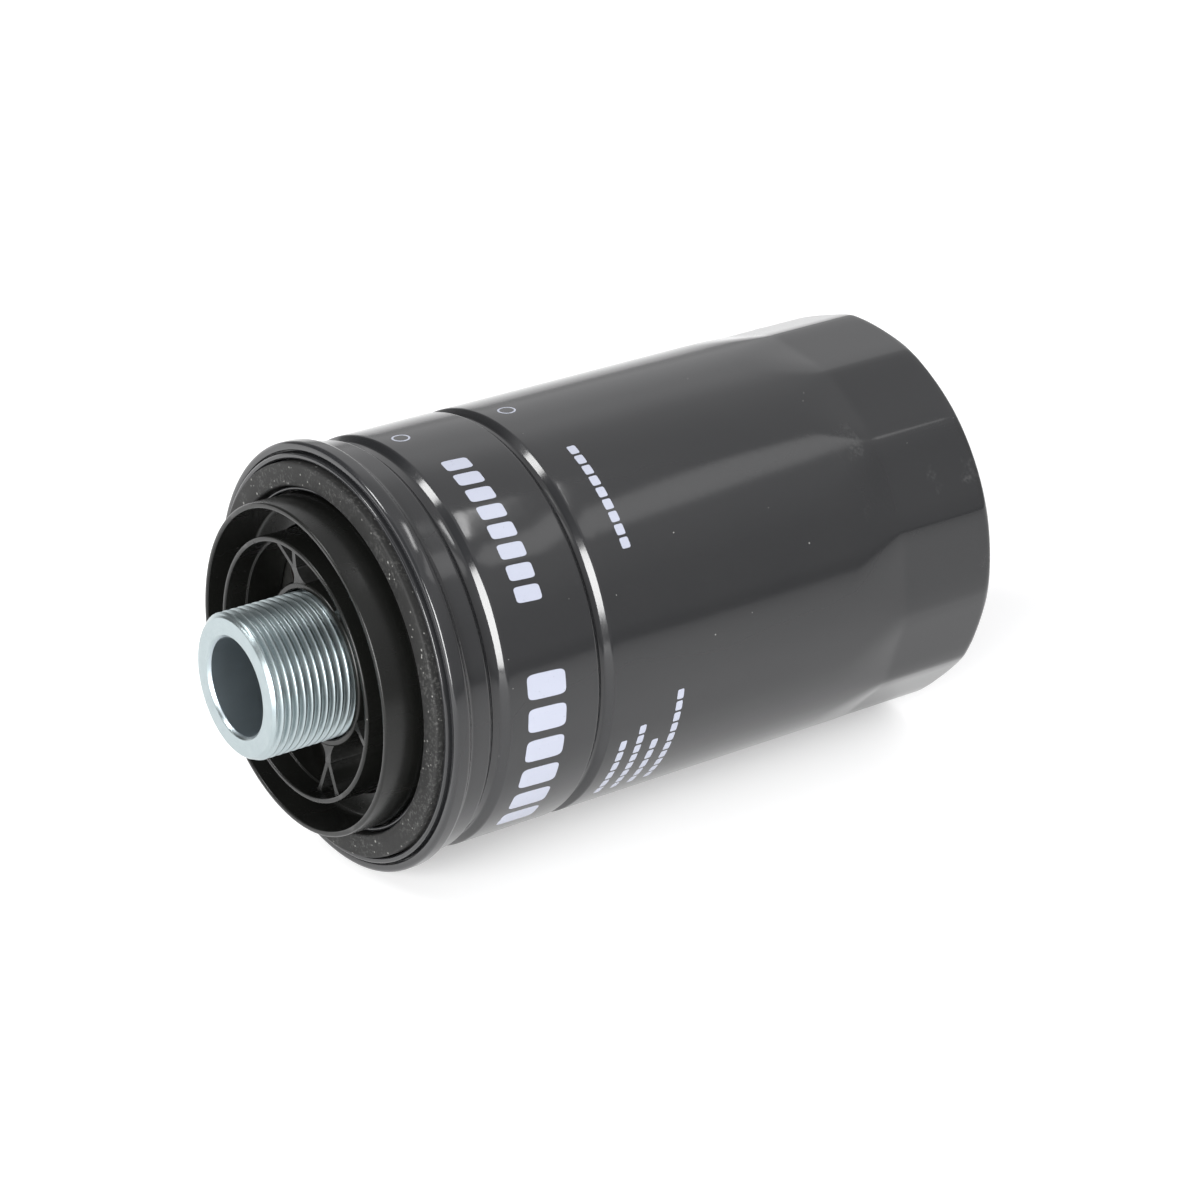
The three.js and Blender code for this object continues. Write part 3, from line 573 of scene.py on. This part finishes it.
def can():
    front, end, _, seam = span("can_shell")
    wall = seam - SEAM_PROUD
    flat = wall - FLAT_DEPTH
    lip = seam - SEAM_LIP
    slot = front + SHEET
    slot_back = 22.4
    flats_from = 106  # rows stand close together from here on
    neck, body = NECK_BEAD, BODY_BEAD

    def bead(radius, shape, blend):
        start, stop, depth = shape
        return [
            (radius, start - 0.2, blend),
            (radius - depth, start + 1.0, blend),
            (radius - depth, stop - 1.0, blend),
            (radius, stop + 0.2, blend),
        ]

    def along(radius, start, stop, step):
        return [(radius, s) for s in np.arange(start, stop, step)]

    inner = wall - SHEET
    outside = [
        (lip, slot, 0.15),
        (lip, front, 0.45),
        (seam, front, 1.15),
        (seam, slot_back + 0.75, 1.15),
        (wall, slot_back + 2.0, 1.2),
        *bead(wall, neck, 0.8),
        *along(wall, neck[1] + 3, body[0] - 3, 5.0),
        *bead(wall, body, 0.7),
        *along(wall, body[1] + 3, flats_from - 2, 6.0),
        *along(wall, flats_from, end - END_ROUNDING - 0.8, 0.8),
        (wall, end, END_ROUNDING),
        (DISH_RADIUS, end, 1.2),
        (DISH_RADIUS - 1.4, end - DISH_DEPTH, 1.2),
        (0.0, end - DISH_DEPTH),
    ]
    inside = [
        (0.0, end - DISH_DEPTH - SHEET),
        (DISH_RADIUS - 1.4 + SHEET, end - DISH_DEPTH - SHEET, 0.6),
        (DISH_RADIUS + SHEET, end - SHEET, 0.6),
        (inner, end - SHEET, END_ROUNDING - SHEET),
        *along(inner, flats_from, end - END_ROUNDING - 1.5, 1.6)[::-1],
        *bead(inner, body, 0.5)[::-1],
        *bead(inner, neck, 0.5)[::-1],
        (inner, slot_back, 0.2),
        (seam - SHEET, slot_back, 0.2),
        (seam - SHEET, slot, 0.2),
    ]
    outer_points = rounded(outside, 6)
    pitch = 2 * math.pi / FLATS
    blend = 0.55

    def flats(radius, angle, station, row):
        sheet = 0.0 if row < len(outer_points) else SHEET
        plane = flat - sheet + max(0.0, FLATS_START - station) * FLAT_DEPTH / FLATS_RUNOUT
        away = (angle + math.pi / 2 + pitch / 2) % pitch - pitch / 2
        limit = plane / math.cos(away)
        near = max(blend - abs(radius - limit), 0.0) / blend
        return min(radius, limit) - near * near * blend / 4

    made = mesh_of("can", *strip(outer_points + rounded(inside, 3), FLATS * 20, flats))
    piece("can", made, "casing", PAINT, "can_shell")


can()

# ---------------------------------------------------------------- mouth of the can


def seam_cover():
    lip_front, back, inner, edge = span("seam_cover")
    _, g_back, g_inner, g_outer = span("gasket")
    gap = 0.35
    floor = g_back + 0.3
    hem_front, hem_back = 21.3, 22.1
    rim = span("can_shell")[3] - SEAM_LIP - gap
    waist = 37.0
    turned("seam_cover_ring", 240, "casing", SEAM_PAINT, "seam_cover", [
        (inner, back, 0.5),
        (inner, lip_front, 0.33),
        (g_inner - gap, lip_front, 0.33),
        (g_inner - gap, floor, 0.3),
        (g_outer + gap, floor, 0.3),
        (g_outer + gap, lip_front, 0.35),
        (rim, lip_front, 0.35),
        (rim, hem_front, 0.2),
        (edge, hem_front, 0.2),
        (edge, hem_back, 0.2),
        (waist, hem_back, 0.1),
        (waist, back, 0.4),
    ])


def gasket():
    front, back, inner, outer = span("gasket")
    turned("gasket_ring", 240, "casing", RUBBER, "gasket", [
        (inner, front, 0.45),
        ((inner + outer) / 2, front + 0.05, 2.0),
        (outer, front, 0.45),
        (outer, back, 0.3),
        (inner, back, 0.3),
    ])


def polar(degrees, radius):
    a = math.radians(degrees)
    return (radius * math.cos(a), radius * math.sin(a))


def base_plate():
    front, back, inner, outer = span("base_plate")
    corners = [(inner, front, 0.4), (outer, front, 0.6), (outer, back, 0.6), (inner, back, 0.4)]
    disc = turned_mesh("drilled_plate", corners, 192, 3)
    plate = piece("drilled_plate", disc, "casing", PLATE, "base_plate")
    points = 32
    holes = []
    for i in range(INLETS):
        x, z = polar((i + 0.5) * 360 / INLETS, INLET_CIRCLE)
        edge = [polar(360 * k / points, INLET_RADIUS) for k in range(points)]
        hole = extruded("hole", [(x + dx, z + dz) for dx, dz in edge], front - 1, back + 1)
        holes.append(loose("hole", hole))
    finished(combine(plate, holes, "DIFFERENCE"))


# One pitch of the thread: (share of the pitch, share of the depth), from crest to crest.
THREAD_FORM = [
    (0.00, 0.00),
    (0.06, 0.02),
    (0.10, 0.10),
    (0.20, 0.38),
    (0.30, 0.66),
    (0.39, 0.92),
    (0.45, 1.00),
    (0.55, 1.00),
    (0.61, 0.92),
    (0.70, 0.66),
    (0.80, 0.38),
    (0.90, 0.10),
    (0.94, 0.02),
]


def nipple():
    front, end, bore, crest = span("threaded_nipple")
    root = crest - THREAD_DEPTH
    segments = 160
    lead = 0.35
    tail = 11.0
    shoulder = 27.8
    rows_per_turn = len(THREAD_FORM)
    turns = int((THREAD_END - lead) / THREAD_PITCH) + 3
    vertices, faces = [], []

    def envelope(station):
        opening = crest - CHAMFER + (station - front) * 1.15
        closing = root + max(0.0, THREAD_END - station) * 0.9
        return min(crest, opening, closing)

    rows = []
    for j in range(rows_per_turn * turns):
        share, depth = THREAD_FORM[j % rows_per_turn]
        whole = j // rows_per_turn
        row = []
        for k in range(segments):
            station = lead + (whole - 1 + share + k / segments) * THREAD_PITCH
            station = min(max(station, lead), THREAD_END)
            radius = min(crest - depth * THREAD_DEPTH, envelope(station))
            row.append(len(vertices))
            vertices.append(placed(radius, 2 * math.pi * k / segments, station))
        rows.append(row)
    for j in range(len(rows) - 1):
        for k in range(segments - 1):
            faces.append((rows[j][k], rows[j][k + 1], rows[j + 1][k + 1], rows[j + 1][k]))
        if j + 1 + rows_per_turn < len(rows):
            up, over = rows[j + rows_per_turn][0], rows[j + 1 + rows_per_turn][0]
            faces.append((rows[j][-1], up, over, rows[j + 1][-1]))

    def join(profile):
        more, more_faces = strip(profile, segments, closed=False)
        base = len(vertices)
        vertices.extend(more)
        faces.extend(tuple(base + i for i in f) for f in more_faces)

    mouth = rounded(
        [
            (bore, end + 1),
            (bore, end - 0.5),
            (bore, front + 0.6, 0.25),
            (bore + 0.6, front, 0.3),
            (crest - CHAMFER, front, 0.25),
            (envelope(lead), lead),
        ],
        4,
    )[1:]
    join(mouth)
    rest = rounded(
        [
            (root, THREAD_END),
            (crest, THREAD_END + 1.0, 0.4),
            (crest, shoulder, 0.3),
            (tail, shoulder, 0.5),
            (tail, end, 0.4),
            (bore, end, 0.2),
            (bore, end - 0.5),
        ],
        4,
    )
    join(rest)
    made = mesh_of("thread_tube", vertices, faces)
    piece("thread_tube", made, "casing", ZINC, "threaded_nipple")


def collar():
    front, back, _, outer = span("outer_collar")
    inner = 29.4
    ring = span("inner_spider")[3]
    floor = 20.5
    turned("flow_collar", 240, "casing", PLASTIC, "outer_collar", [
        (inner, front, 0.35),
        (outer, front, 0.45),
        (outer, back, 0.3),
        (inner, back, 0.3),
        (inner, floor + 1.5, 0.4),
        (ring + 0.3, floor + 1.5, 0.2),
        (ring + 0.3, floor, 0.2),
        (inner, floor, 1.0),
    ])


def rib(start, end, width, flare_start, flare_end, front, back):
    """An upright rib seen end on as a strip between two (x, z) points, wider at its ends."""
    a, b = np.array(start, float), np.array(end, float)
    run = b - a
    length = np.linalg.norm(run)
    run /= length
    side = np.array([-run[1], run[0]])
    left, right = [], []
    steps = 18
    for k in range(steps + 1):
        t = length * k / steps
        half = width / 2
        half += flare_start * max(0.0, 1 - t / 2.4) ** 2 + flare_end * max(0.0, 1 - (length - t) / 2.0) ** 2
        p = a + run * t
        left.append(tuple(p + side * half))
        right.append(tuple(p - side * half))
    return loose("rib", extruded("rib", left + right[::-1], front, back))


def spider():
    front, back, hub_inner, ring_outer = span("inner_spider")
    ring_inner = ring_outer - 1.0
    hub_outer = hub_inner + 1.3
    hub_front = front + 4.2
    rib_front = front + 2.6
    step = front + 4.4
    ring_corners = [
        (ring_inner, front, 0.3),
        (ring_outer, front, 0.4),
        (ring_outer, back, 0.2),
        (ring_inner - 0.4, back, 0.2),
        (ring_inner - 0.4, step, 0.15),
        (ring_inner, step, 0.15),
    ]
    hub_corners = [
        (hub_inner, hub_front, 0.25),
        (hub_outer, hub_front, 0.55),
        (hub_outer, back, 0.2),
        (hub_inner, back, 0.2),
    ]
    ring = loose("flow_spider", turned_mesh("flow_spider", ring_corners, 240))
    hub = loose("hub", turned_mesh("hub", hub_corners, 192))

    def slope(p):
        share = (math.hypot(*p) - hub_outer) / (ring_inner - hub_outer)
        share = max(0.0, min(1.0, share))
        return hub_front + (rib_front - hub_front) * share + 0.15

    tools = [hub]
    root, foot = hub_outer - 0.5, ring_outer - 0.5
    fork_radius = hub_outer + 0.28 * (ring_inner - hub_outer)
    rib_back = back - 0.1
    for angle in FORKED_RIBS:
        stem_end = polar(angle, fork_radius + 0.5)
        tools.append(rib(polar(angle, root), stem_end, 1.8, 1.5, 0.0, slope, rib_back))
        for lean in (-8, 8):
            fork, end = polar(angle, fork_radius), polar(angle + lean, foot)
            tools.append(rib(fork, end, 0.95, 0.1, 0.5, slope, rib_back))
    for angle in PLAIN_RIBS:
        tools.append(rib(polar(angle, root), polar(angle, foot), 1.0, 0.9, 0.5, slope, rib_back))
    combine(ring, tools, "UNION")
    mesh = ring.data
    bpy.data.objects.remove(ring)
    piece("flow_spider", mesh, "casing", PLASTIC, "inner_spider")


def ring_piece(name, node, body, look, fillet):
    """A plain ring with rounded edges in a CAD ring's place."""
    front, back, inner, outer = span(node)
    corners = [(inner, front, fillet), (outer, front, fillet), (outer, back, fillet), (inner, back, fillet)]
    turned(name, 144, body, look, node, corners)


seam_cover()
gasket()
base_plate()
nipple()
collar()
spider()
ring_piece("annulus_seal", "collar_seal", "casing", CLEAN_RUBBER, 0.4)

# ---------------------------------------------------------------- inside the can


def drainback_valve():
    """A rubber flap that is thick round the nipple and thins to a lip past the inlet holes."""
    front, back, inner, outer = span("drainback_valve")
    turned("rubber_flap", 160, "drainback", SILICONE, "drainback_valve", [
        (inner, front, 0.1),
        (INLET_CIRCLE + INLET_RADIUS + 0.6, front, 0.2),
        (outer, front, 0.15),
        (outer, front + 0.55, 0.2),
        (INLET_CIRCLE + INLET_RADIUS, front + 0.8, 1.0),
        (INLET_CIRCLE - INLET_RADIUS, back - 0.45, 0.6),
        (inner + 2.6, back - 0.1, 0.6),
        (inner + 1.4, back, 0.3),
        (inner, back, 0.3),
    ])


def pressed_ring(face, raised):
    """The corners of a ring pressed into a cap's face."""
    near, far, slope = 20.0, 30.0, 0.6
    profile = [(near, face), (near + slope, face + raised), (far - slope, face + raised), (far, face)]
    return [(*corner, 0.5) for corner in profile]


def front_cap():
    """The neck, the cap's face with a pressed ring in it, and the turned rim round the paper."""
    front, back, _, outer = span("front_end_cap")
    face = back - 5.0
    neck_inner = 14.5
    hole = 12.5
    turned("front_cap", 160, "element", TIN, "front_end_cap", [
        (neck_inner, front, 0.35),
        (neck_inner + PRESSED_SHEET, front, 0.35),
        (neck_inner + PRESSED_SHEET, face, 0.45),
        *pressed_ring(face, 0.25),
        (outer, face, 0.9),
        (outer, back, 0.3),
        (outer - PRESSED_SHEET, back, 0.3),
        (outer - PRESSED_SHEET, face + PRESSED_SHEET, 0.4),
        (hole, face + PRESSED_SHEET, 0.3),
        (hole, face, 0.3),
        (neck_inner, face, 0.2),
    ])


def rear_cap():
    front, back, inner, outer = span("rear_end_cap")
    face = back - PRESSED_SHEET
    turned("rear_cap", 160, "element", TIN, "rear_end_cap", [
        (inner, face, 0.25),
        (outer - PRESSED_SHEET, face, 0.4),
        (outer - PRESSED_SHEET, front, 0.3),
        (outer, front, 0.3),
        (outer, back, 0.9),
        *pressed_ring(back, -0.25)[::-1],
        (inner, back, 0.3),
    ])


def neck_seal():
    """A ring with three ribs that grip the nipple's tail."""
    front, back, inner, outer = span("neck_seal")
    third = (back - front) / 3
    corners = [(outer, front, 0.4), (outer, back, 0.4)]
    for i in (2, 1, 0):
        rib = front + i * third
        corners += [(inner, rib + third - 0.25, 0.3), (inner, rib + 0.45, 0.3)]
        if i:
            corners += [(inner + 0.5, rib + 0.2, 0.15), (inner + 0.5, rib - 0.05, 0.15)]
    turned("neck_ring", 120, "element", CLEAN_RUBBER, "neck_seal", corners)


def media():
    """Folded paper: round folds outside and inside, with a fold behind the seam clip at angle 0."""
    front, back, inner, outer = span("pleated_media")
    tip, root = outer - 0.9, inner + 0.9
    tip_fold, root_fold = 0.62, 0.45
    pitch = 2 * math.pi / FOLDS

    def flank(middle, side, share):
        half = tip_fold / tip + (pitch / 2 - tip_fold / tip - root_fold / root) * share
        return (tip + (root - tip) * share, middle + side * half)

    line = []
    for i in range(FOLDS):
        turns = [math.pi * k / 6 - math.pi / 2 for k in range(7)]
        line += [(tip + tip_fold * math.cos(t), i * pitch + tip_fold * math.sin(t) / tip) for t in turns]
        line += [flank(i * pitch, 1, share) for share in (0.25, 0.5, 0.75)]
        for t in turns[::-1]:
            line.append((root - root_fold * math.cos(t), (i + 0.5) * pitch - root_fold * math.sin(t) / root))
        line += [flank((i + 1) * pitch, -1, share) for share in (0.75, 0.5, 0.25)]
    points = np.array([(r * math.cos(a), r * math.sin(a)) for r, a in line])
    tangent = np.roll(points, -1, axis=0) - np.roll(points, 1, axis=0)
    tangent /= np.linalg.norm(tangent, axis=1)[:, None]
    normal = np.stack([tangent[:, 1], -tangent[:, 0]], axis=1)
    outside = points + normal * PAPER / 2
    inside = points - normal * PAPER / 2
    count = len(points)
    stations = np.linspace(front, back, 9)
    vertices, faces = [], []
    for station in stations:
        for ring in (outside, inside):
            vertices += [at(x, station, z) for x, z in ring]
    for j in range(len(stations) - 1):
        low, high = 2 * count * j, 2 * count * (j + 1)
        for k in range(count):
            n = (k + 1) % count
            faces.append((low + k, high + k, high + n, low + n))
            faces.append((low + count + k, low + count + n, high + count + n, high + count + k))
    last = 2 * count * (len(stations) - 1)
    for k in range(count):
        n = (k + 1) % count
        faces.append((k, n, count + n, count + k))
        faces.append((last + k, last + count + k, last + count + n, last + n))
    piece("folded_paper", mesh_of("folded_paper", vertices, faces), "element", PAPER_FINISH, "pleated_media")


def clip():
    """A folded strip pinched over one fold of the paper, with bent-in edges."""
    low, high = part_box("pleat_clip")
    front, back = (low.y - ORIGIN) / MM, (high.y - ORIGIN) / MM
    tail, crown = low.x / MM, high.x / MM
    half = (high.z - low.z) / 2 / MM
    sheet = 0.4
    middle = crown - half
    outline, inside = [], []
    for k in range(13):
        turn = math.pi / 2 - math.pi * k / 12
        outline.append((middle + half * math.cos(turn), half * math.sin(turn)))
        inside.append((middle + (half - sheet) * math.cos(turn), (half - sheet) * math.sin(turn)))
    outline = [(tail, half), (tail + 0.8, half - 0.1), (tail + 1.6, half)] + outline
    outline += [(tail + 1.6, -half), (tail + 0.8, -half + 0.1), (tail, -half)]
    inside = [(tail, half - sheet), (tail + 0.8, half - sheet - 0.1), (tail + 1.6, half - sheet)] + inside
    inside += [(tail + 1.6, sheet - half), (tail + 0.8, sheet - half + 0.1), (tail, sheet - half)]
    made = extruded("seam_clip", outline + inside[::-1], front, back)
    piece("seam_clip", made, "element", TIN, "pleat_clip")


def peg(station, angle, radius, reach, sides=16):
    """A round bar square to the axis, for cutting a hole in one side of a tube."""
    out = Vector((math.cos(angle), 0, math.sin(angle)))
    side = Vector((-math.sin(angle), 0, math.cos(angle)))
    along = Vector((0, 1, 0))
    centre = Vector((0, ORIGIN + station * MM, AXIS))
    ends = []
    for depth in reach:
        turns = [2 * math.pi * k / sides for k in range(sides)]
        offsets = [side * math.cos(a) + along * math.sin(a) for a in turns]
        ends.append([tuple(centre + out * depth * MM + offset * radius * MM) for offset in offsets])
    return loose("peg", prism("peg", *ends))


def tube():
    front, back, inner, outer = span("centre_tube")
    rows, holes_in_row, end_margin = 8, 10, 4
    pitch = (back - front - 2 * end_margin) / rows
    pegs = []
    for row in range(rows):
        for i in range(holes_in_row):
            angle = 2 * math.pi * (i + row % 2 / 2) / holes_in_row
            pegs.append(peg(front + end_margin + (row + 0.5) * pitch, angle, 1.7, (inner - 2, outer + 2)))
    corners = [(inner, front), (outer, front), (outer, back), (inner, back)]
    obj = turned("perforated_tube", 144, "element", TIN, "centre_tube", corners)
    finished(combine(obj, [joined_tools(pegs)], "DIFFERENCE"))


def cage():
    front, back, inner, outer = span("bypass_cage")
    wall_outer = 13.2
    wall_inner = 12.2
    corners = [
        (inner, front, 0.2),
        (wall_outer, front, 1.6),
        (wall_outer, back - 1.0, 0.7),
        (outer, back - 1.0, 0.4),
        (outer, back, 0.4),
        (wall_inner, back, 0.4),
        (wall_inner, front + 1.0, 0.7),
        (inner, front + 1.0, 0.2),
    ]
    obj = turned("valve_cage", 144, "element", TIN, "bypass_cage", corners)
    margin = 3.0
    half = 5.0
    corner = 1.2
    low, high = front + margin + corner, back - margin - corner
    reach = half - corner
    outline = []
    for cx, cy, start in ((reach, high, 0), (-reach, high, 90), (-reach, low, 180), (reach, low, 270)):
        for k in range(5):
            dx, dy = polar(start + 22.5 * k, corner)
            outline.append((cx + dx, cy + dy))
    windows = []
    for i in range(4):
        a = i * math.pi / 2
        c, s = math.cos(a), math.sin(a)
        ends = []
        for depth in (wall_inner - 5.5, wall_outer + 2):
            ends.append([at(c * depth - s * x, station, s * depth + c * x) for x, station in outline])
        windows.append(loose("window", prism("window", *ends)))
    finished(combine(obj, [joined_tools(windows)], "DIFFERENCE"))


def poppet():
    """A pressed disc with a raised sealing ring, on a stem with a groove for its clip."""
    front, back, _, outer = span("bypass_poppet")
    disc = back - 1.0
    stem = 1.5
    clip_front, clip_back, _, _ = span("bypass_stem_clip")
    turned("poppet", 96, "bypass", TIN, "bypass_poppet", [
        (0.0, front),
        (stem, front, 0.7),
        (stem, clip_front - 0.05, 0.05),
        (stem - 0.35, clip_front - 0.05, 0.05),
        (stem - 0.35, clip_back + 0.05, 0.05),
        (stem, clip_back + 0.05, 0.05),
        (stem, disc, 0.5),
        (6.9, disc, 0.3),
        (7.3, disc + 0.15, 0.3),
        (outer, disc + 0.15, 0.3),
        (outer, back, 0.3),
        (8.0, back, 0.2),
        (7.6, back - 0.25, 0.2),
        (0.0, back - 0.25),
    ])


def stem_clip():
    """A flat snap ring with a gap between two rounded ears."""
    front, back, inner, outer = span("bypass_stem_clip")
    gap = math.radians(24)
    outline = []
    steps = 40
    for radius, order in ((outer, range(steps + 1)), (inner, range(steps, -1, -1))):
        for k in order:
            a = gap + (2 * math.pi - 2 * gap) * k / steps
            outline.append((radius * math.cos(a), radius * math.sin(a)))
    made = extruded("snap_ring", outline, front + 0.1, back - 0.1)
    piece("snap_ring", made, "bypass", WIRE, "bypass_stem_clip")


def seat():
    front, back, inner, outer = span("spring_seat")
    rim = outer - PRESSED_SHEET
    turned("spring_cup", 144, "casing", TIN, "spring_seat", [
        (inner, back - PRESSED_SHEET, 0.2),
        (inner + 1.6, back - PRESSED_SHEET, 0.4),
        (rim, back - PRESSED_SHEET, 0.6),
        (rim, front, 0.25),
        (outer, front, 0.25),
        (outer, back, 0.8),
        (inner, back, 0.2),
    ])


def coil(name, node, radius, wire, turns, body):
    """A compression spring with closed, nearly flat end turns."""
    front, back, _, _ = span(node)
    low, high = front + wire / 2, back - wire / 2
    closed = wire * 1.12
    active = (high - low - 2 * closed) / (turns - 2)
    steps = round(turns * 48)
    path = []
    for k in range(steps + 1):
        turn = turns * k / steps
        climbing = min(max(turn - 1, 0), turns - 2)
        station = low + climbing * active + (turn - climbing) * closed
        angle = 2 * math.pi * turn
        path.append((radius * math.sin(angle), station, radius * math.cos(angle)))
    return piece(name, swept(name, path, wire / 2, 16), body, WIRE, node)


def springs():
    retention = coil("cone_spring", "retention_spring", 15.0, 2.0, 4.5, "casing")
    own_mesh(retention)
    bypass = coil("valve_spring", "bypass_spring", 6.2, 1.2, 6, "element")
    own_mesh(bypass)


drainback_valve()
ring_piece("flap_retainer", "drainback_retainer", "casing", TIN, 0.3)
neck_seal()
front_cap()
rear_cap()
ring_piece("front_bond", "front_adhesive", "element", ADHESIVE, 0.6)
ring_piece("rear_bond", "rear_adhesive", "element", ADHESIVE, 0.6)
media()
clip()
tube()
cage()
ring_piece("seat_ring", "bypass_seat_seal", "element", CLEAN_RUBBER, 0.3)
poppet()
stem_clip()
seat()
springs()

# ---------------------------------------------------------------- floor, light and camera

SEAM_STATION = 21.7
TILT_STATION = 113.0


def floor():
    """A plain floor on which both the rolled seam and the can's wall rest."""
    seam = span("can_shell")[3]
    seam_y = ORIGIN + SEAM_STATION * MM
    can_y = ORIGIN + TILT_STATION * MM
    seam_z = AXIS - seam * MM
    can_z = AXIS - (seam - SEAM_PROUD) * MM
    slope = math.atan2(can_z - seam_z, can_y - seam_y)
    mesh = bpy.data.meshes.new("floor")
    half = 3.0
    corners = [(-half, -half, 0), (half, -half, 0), (half, half, 0), (-half, half, 0)]
    mesh.from_pydata(corners, [], [(0, 1, 2, 3)])
    obj = loose("floor", mesh)
    obj.location = (0, seam_y, seam_z)
    obj.rotation_euler = (slope, 0, 0)
    material = bpy.data.materials.new("floor")
    f = Nodes(material)
    diffuse = f.node("BsdfDiffuse", Color=(0.84, 0.84, 0.84, 1))
    glow = f.node("Emission", Strength=0.3)
    lit = f.fed(f.node("AddShader"), diffuse.outputs[0], glow.outputs[0])
    below = f.node("NewGeometry").outputs["Backfacing"]
    shown = f.fed(f.node("MixShader"), below, lit, f.node("BsdfTransparent").outputs[0])
    f.link(shown, f.node("OutputMaterial").inputs[0])
    mesh.materials.append(material)


# Patches of the studio: direction, cosine where it fades out, cosine where it is full, and how much it
# multiplies the level by.
STUDIO_PATCHES = [
    ((-0.82, 0.53, 0.20), 0.80, 0.95, 1.5),
    ((0.05, -0.78, 0.58), 0.88, 0.95, 0.15),
    ((-0.86, -0.15, 0.45), 0.86, 0.96, 0.3),
    ((-0.72, -0.66, 0.15), 0.80, 0.94, 0.3),
]


# Brightness of the studio by height: (sine of the elevation, level).
STUDIO_RAMP = [
    (-0.05, 1.0),
    (-0.02, 0.42),
    (0.05, 0.42),
    (0.14, 0.62),
    (0.45, 0.72),
    (0.7, 1.0),
    (0.82, 0.9),
    (1.0, 1.0),
]


def surroundings():
    """A white studio, darker near the horizon, with a few darker and lighter walls."""
    world = bpy.data.worlds.new("studio")
    bpy.context.scene.world = world
    f = Nodes(world)
    place = f.node("TexCoord").outputs["Generated"]
    rise = f.node("SeparateXYZ", Vector=place).outputs[2]
    ramp = f.node("ValToRGB")
    f.link(f.fed(f.node("MapRange"), rise, -1, 1), ramp.inputs[0])
    elements = ramp.color_ramp.elements
    elements.remove(elements[0])
    for i, (height, value) in enumerate(STUDIO_RAMP):
        position = (height + 1) / 2
        element = elements[0] if i == 0 else elements.new(position)
        element.position = position
        element.color = (value, value, value * 1.01, 1)
    patches = []
    for direction, fade, full, change in STUDIO_PATCHES:
        towards = f.node("VectorMath", {"operation": "DOT_PRODUCT"})
        f.fed(towards, place, Vector(direction).normalized())
        patches.append(f.smooth(towards.outputs["Value"], fade, full, 1.0, change))
    mirrored = f.node("Background", Color=ramp.outputs[0], Strength=f.both(*patches))
    # The backdrop itself is plain white; only what the surfaces mirror has the darker horizon and walls.
    white = f.node("Background", Color=(1, 1, 1, 1))
    seen = f.node("LightPath").outputs["Is Camera Ray"]
    shown = f.fed(f.node("MixShader"), seen, mirrored.outputs[0], white.outputs[0])
    f.link(shown, f.node("OutputWorld").inputs[0])


def softbox(name, direction, distance, width, height, radiance, target=(0, 0, AXIS)):
    light = bpy.data.lights.new(name, "AREA")
    light.shape = "RECTANGLE"
    light.size, light.size_y = width, height
    light.energy = radiance * width * height * math.pi
    obj = bpy.data.objects.new(name, light)
    bpy.context.scene.collection.objects.link(obj)
    towards = Vector(direction).normalized()
    obj.location = Vector(target) + towards * distance
    obj.rotation_mode = "QUATERNION"
    obj.rotation_quaternion = towards.to_track_quat("Z", "Y")
    obj.visible_camera = False
    return obj


CAMERA_AZIMUTH = 52.386
CAMERA_ELEVATION = 30.057
CAMERA_ROLL = 4.503
CAMERA_AIM = Vector((0.00433, 0.0045, AXIS - 0.00118))
CAMERA_DISTANCE = 0.7246
CAMERA_LENS = 118.0


def camera():
    data = bpy.data.cameras.new("camera")
    data.lens = CAMERA_LENS
    data.sensor_width = 36
    data.clip_start, data.clip_end = 0.01, 20
    obj = bpy.data.objects.new("camera", data)
    bpy.context.scene.collection.objects.link(obj)
    a, e = math.radians(CAMERA_AZIMUTH), math.radians(CAMERA_ELEVATION)
    back = Vector((math.sin(a) * math.cos(e), -math.cos(a) * math.cos(e), math.sin(e)))
    right = Vector((math.cos(a), math.sin(a), 0))
    up = back.cross(right)
    roll = math.radians(CAMERA_ROLL)
    turned_right = right * math.cos(roll) + up * math.sin(roll)
    turned_up = up * math.cos(roll) - right * math.sin(roll)
    rotation = Matrix((turned_right, turned_up, back)).transposed()
    obj.rotation_mode = "QUATERNION"
    obj.rotation_quaternion = rotation.to_quaternion()
    obj.location = CAMERA_AIM + back * CAMERA_DISTANCE
    bpy.context.scene.camera = obj


floor()
surroundings()
softbox("window", (0.44, -0.84, 0.28), 1.1, 0.42, 0.66, 21.0)
softbox("side window", (-0.38, -0.66, 0.65), 1.1, 0.22, 0.38, 18.0)
softbox("near strip", (0.071, 0.484, 0.872), 0.5, 0.13, 0.03, 9.0, at(15, 19, 26.4))
softbox("top", (0.30, 0.53, 0.79), 1.2, 0.42, 0.16, 1.4)
camera()
bpy.context.scene.view_settings.view_transform = "Standard"
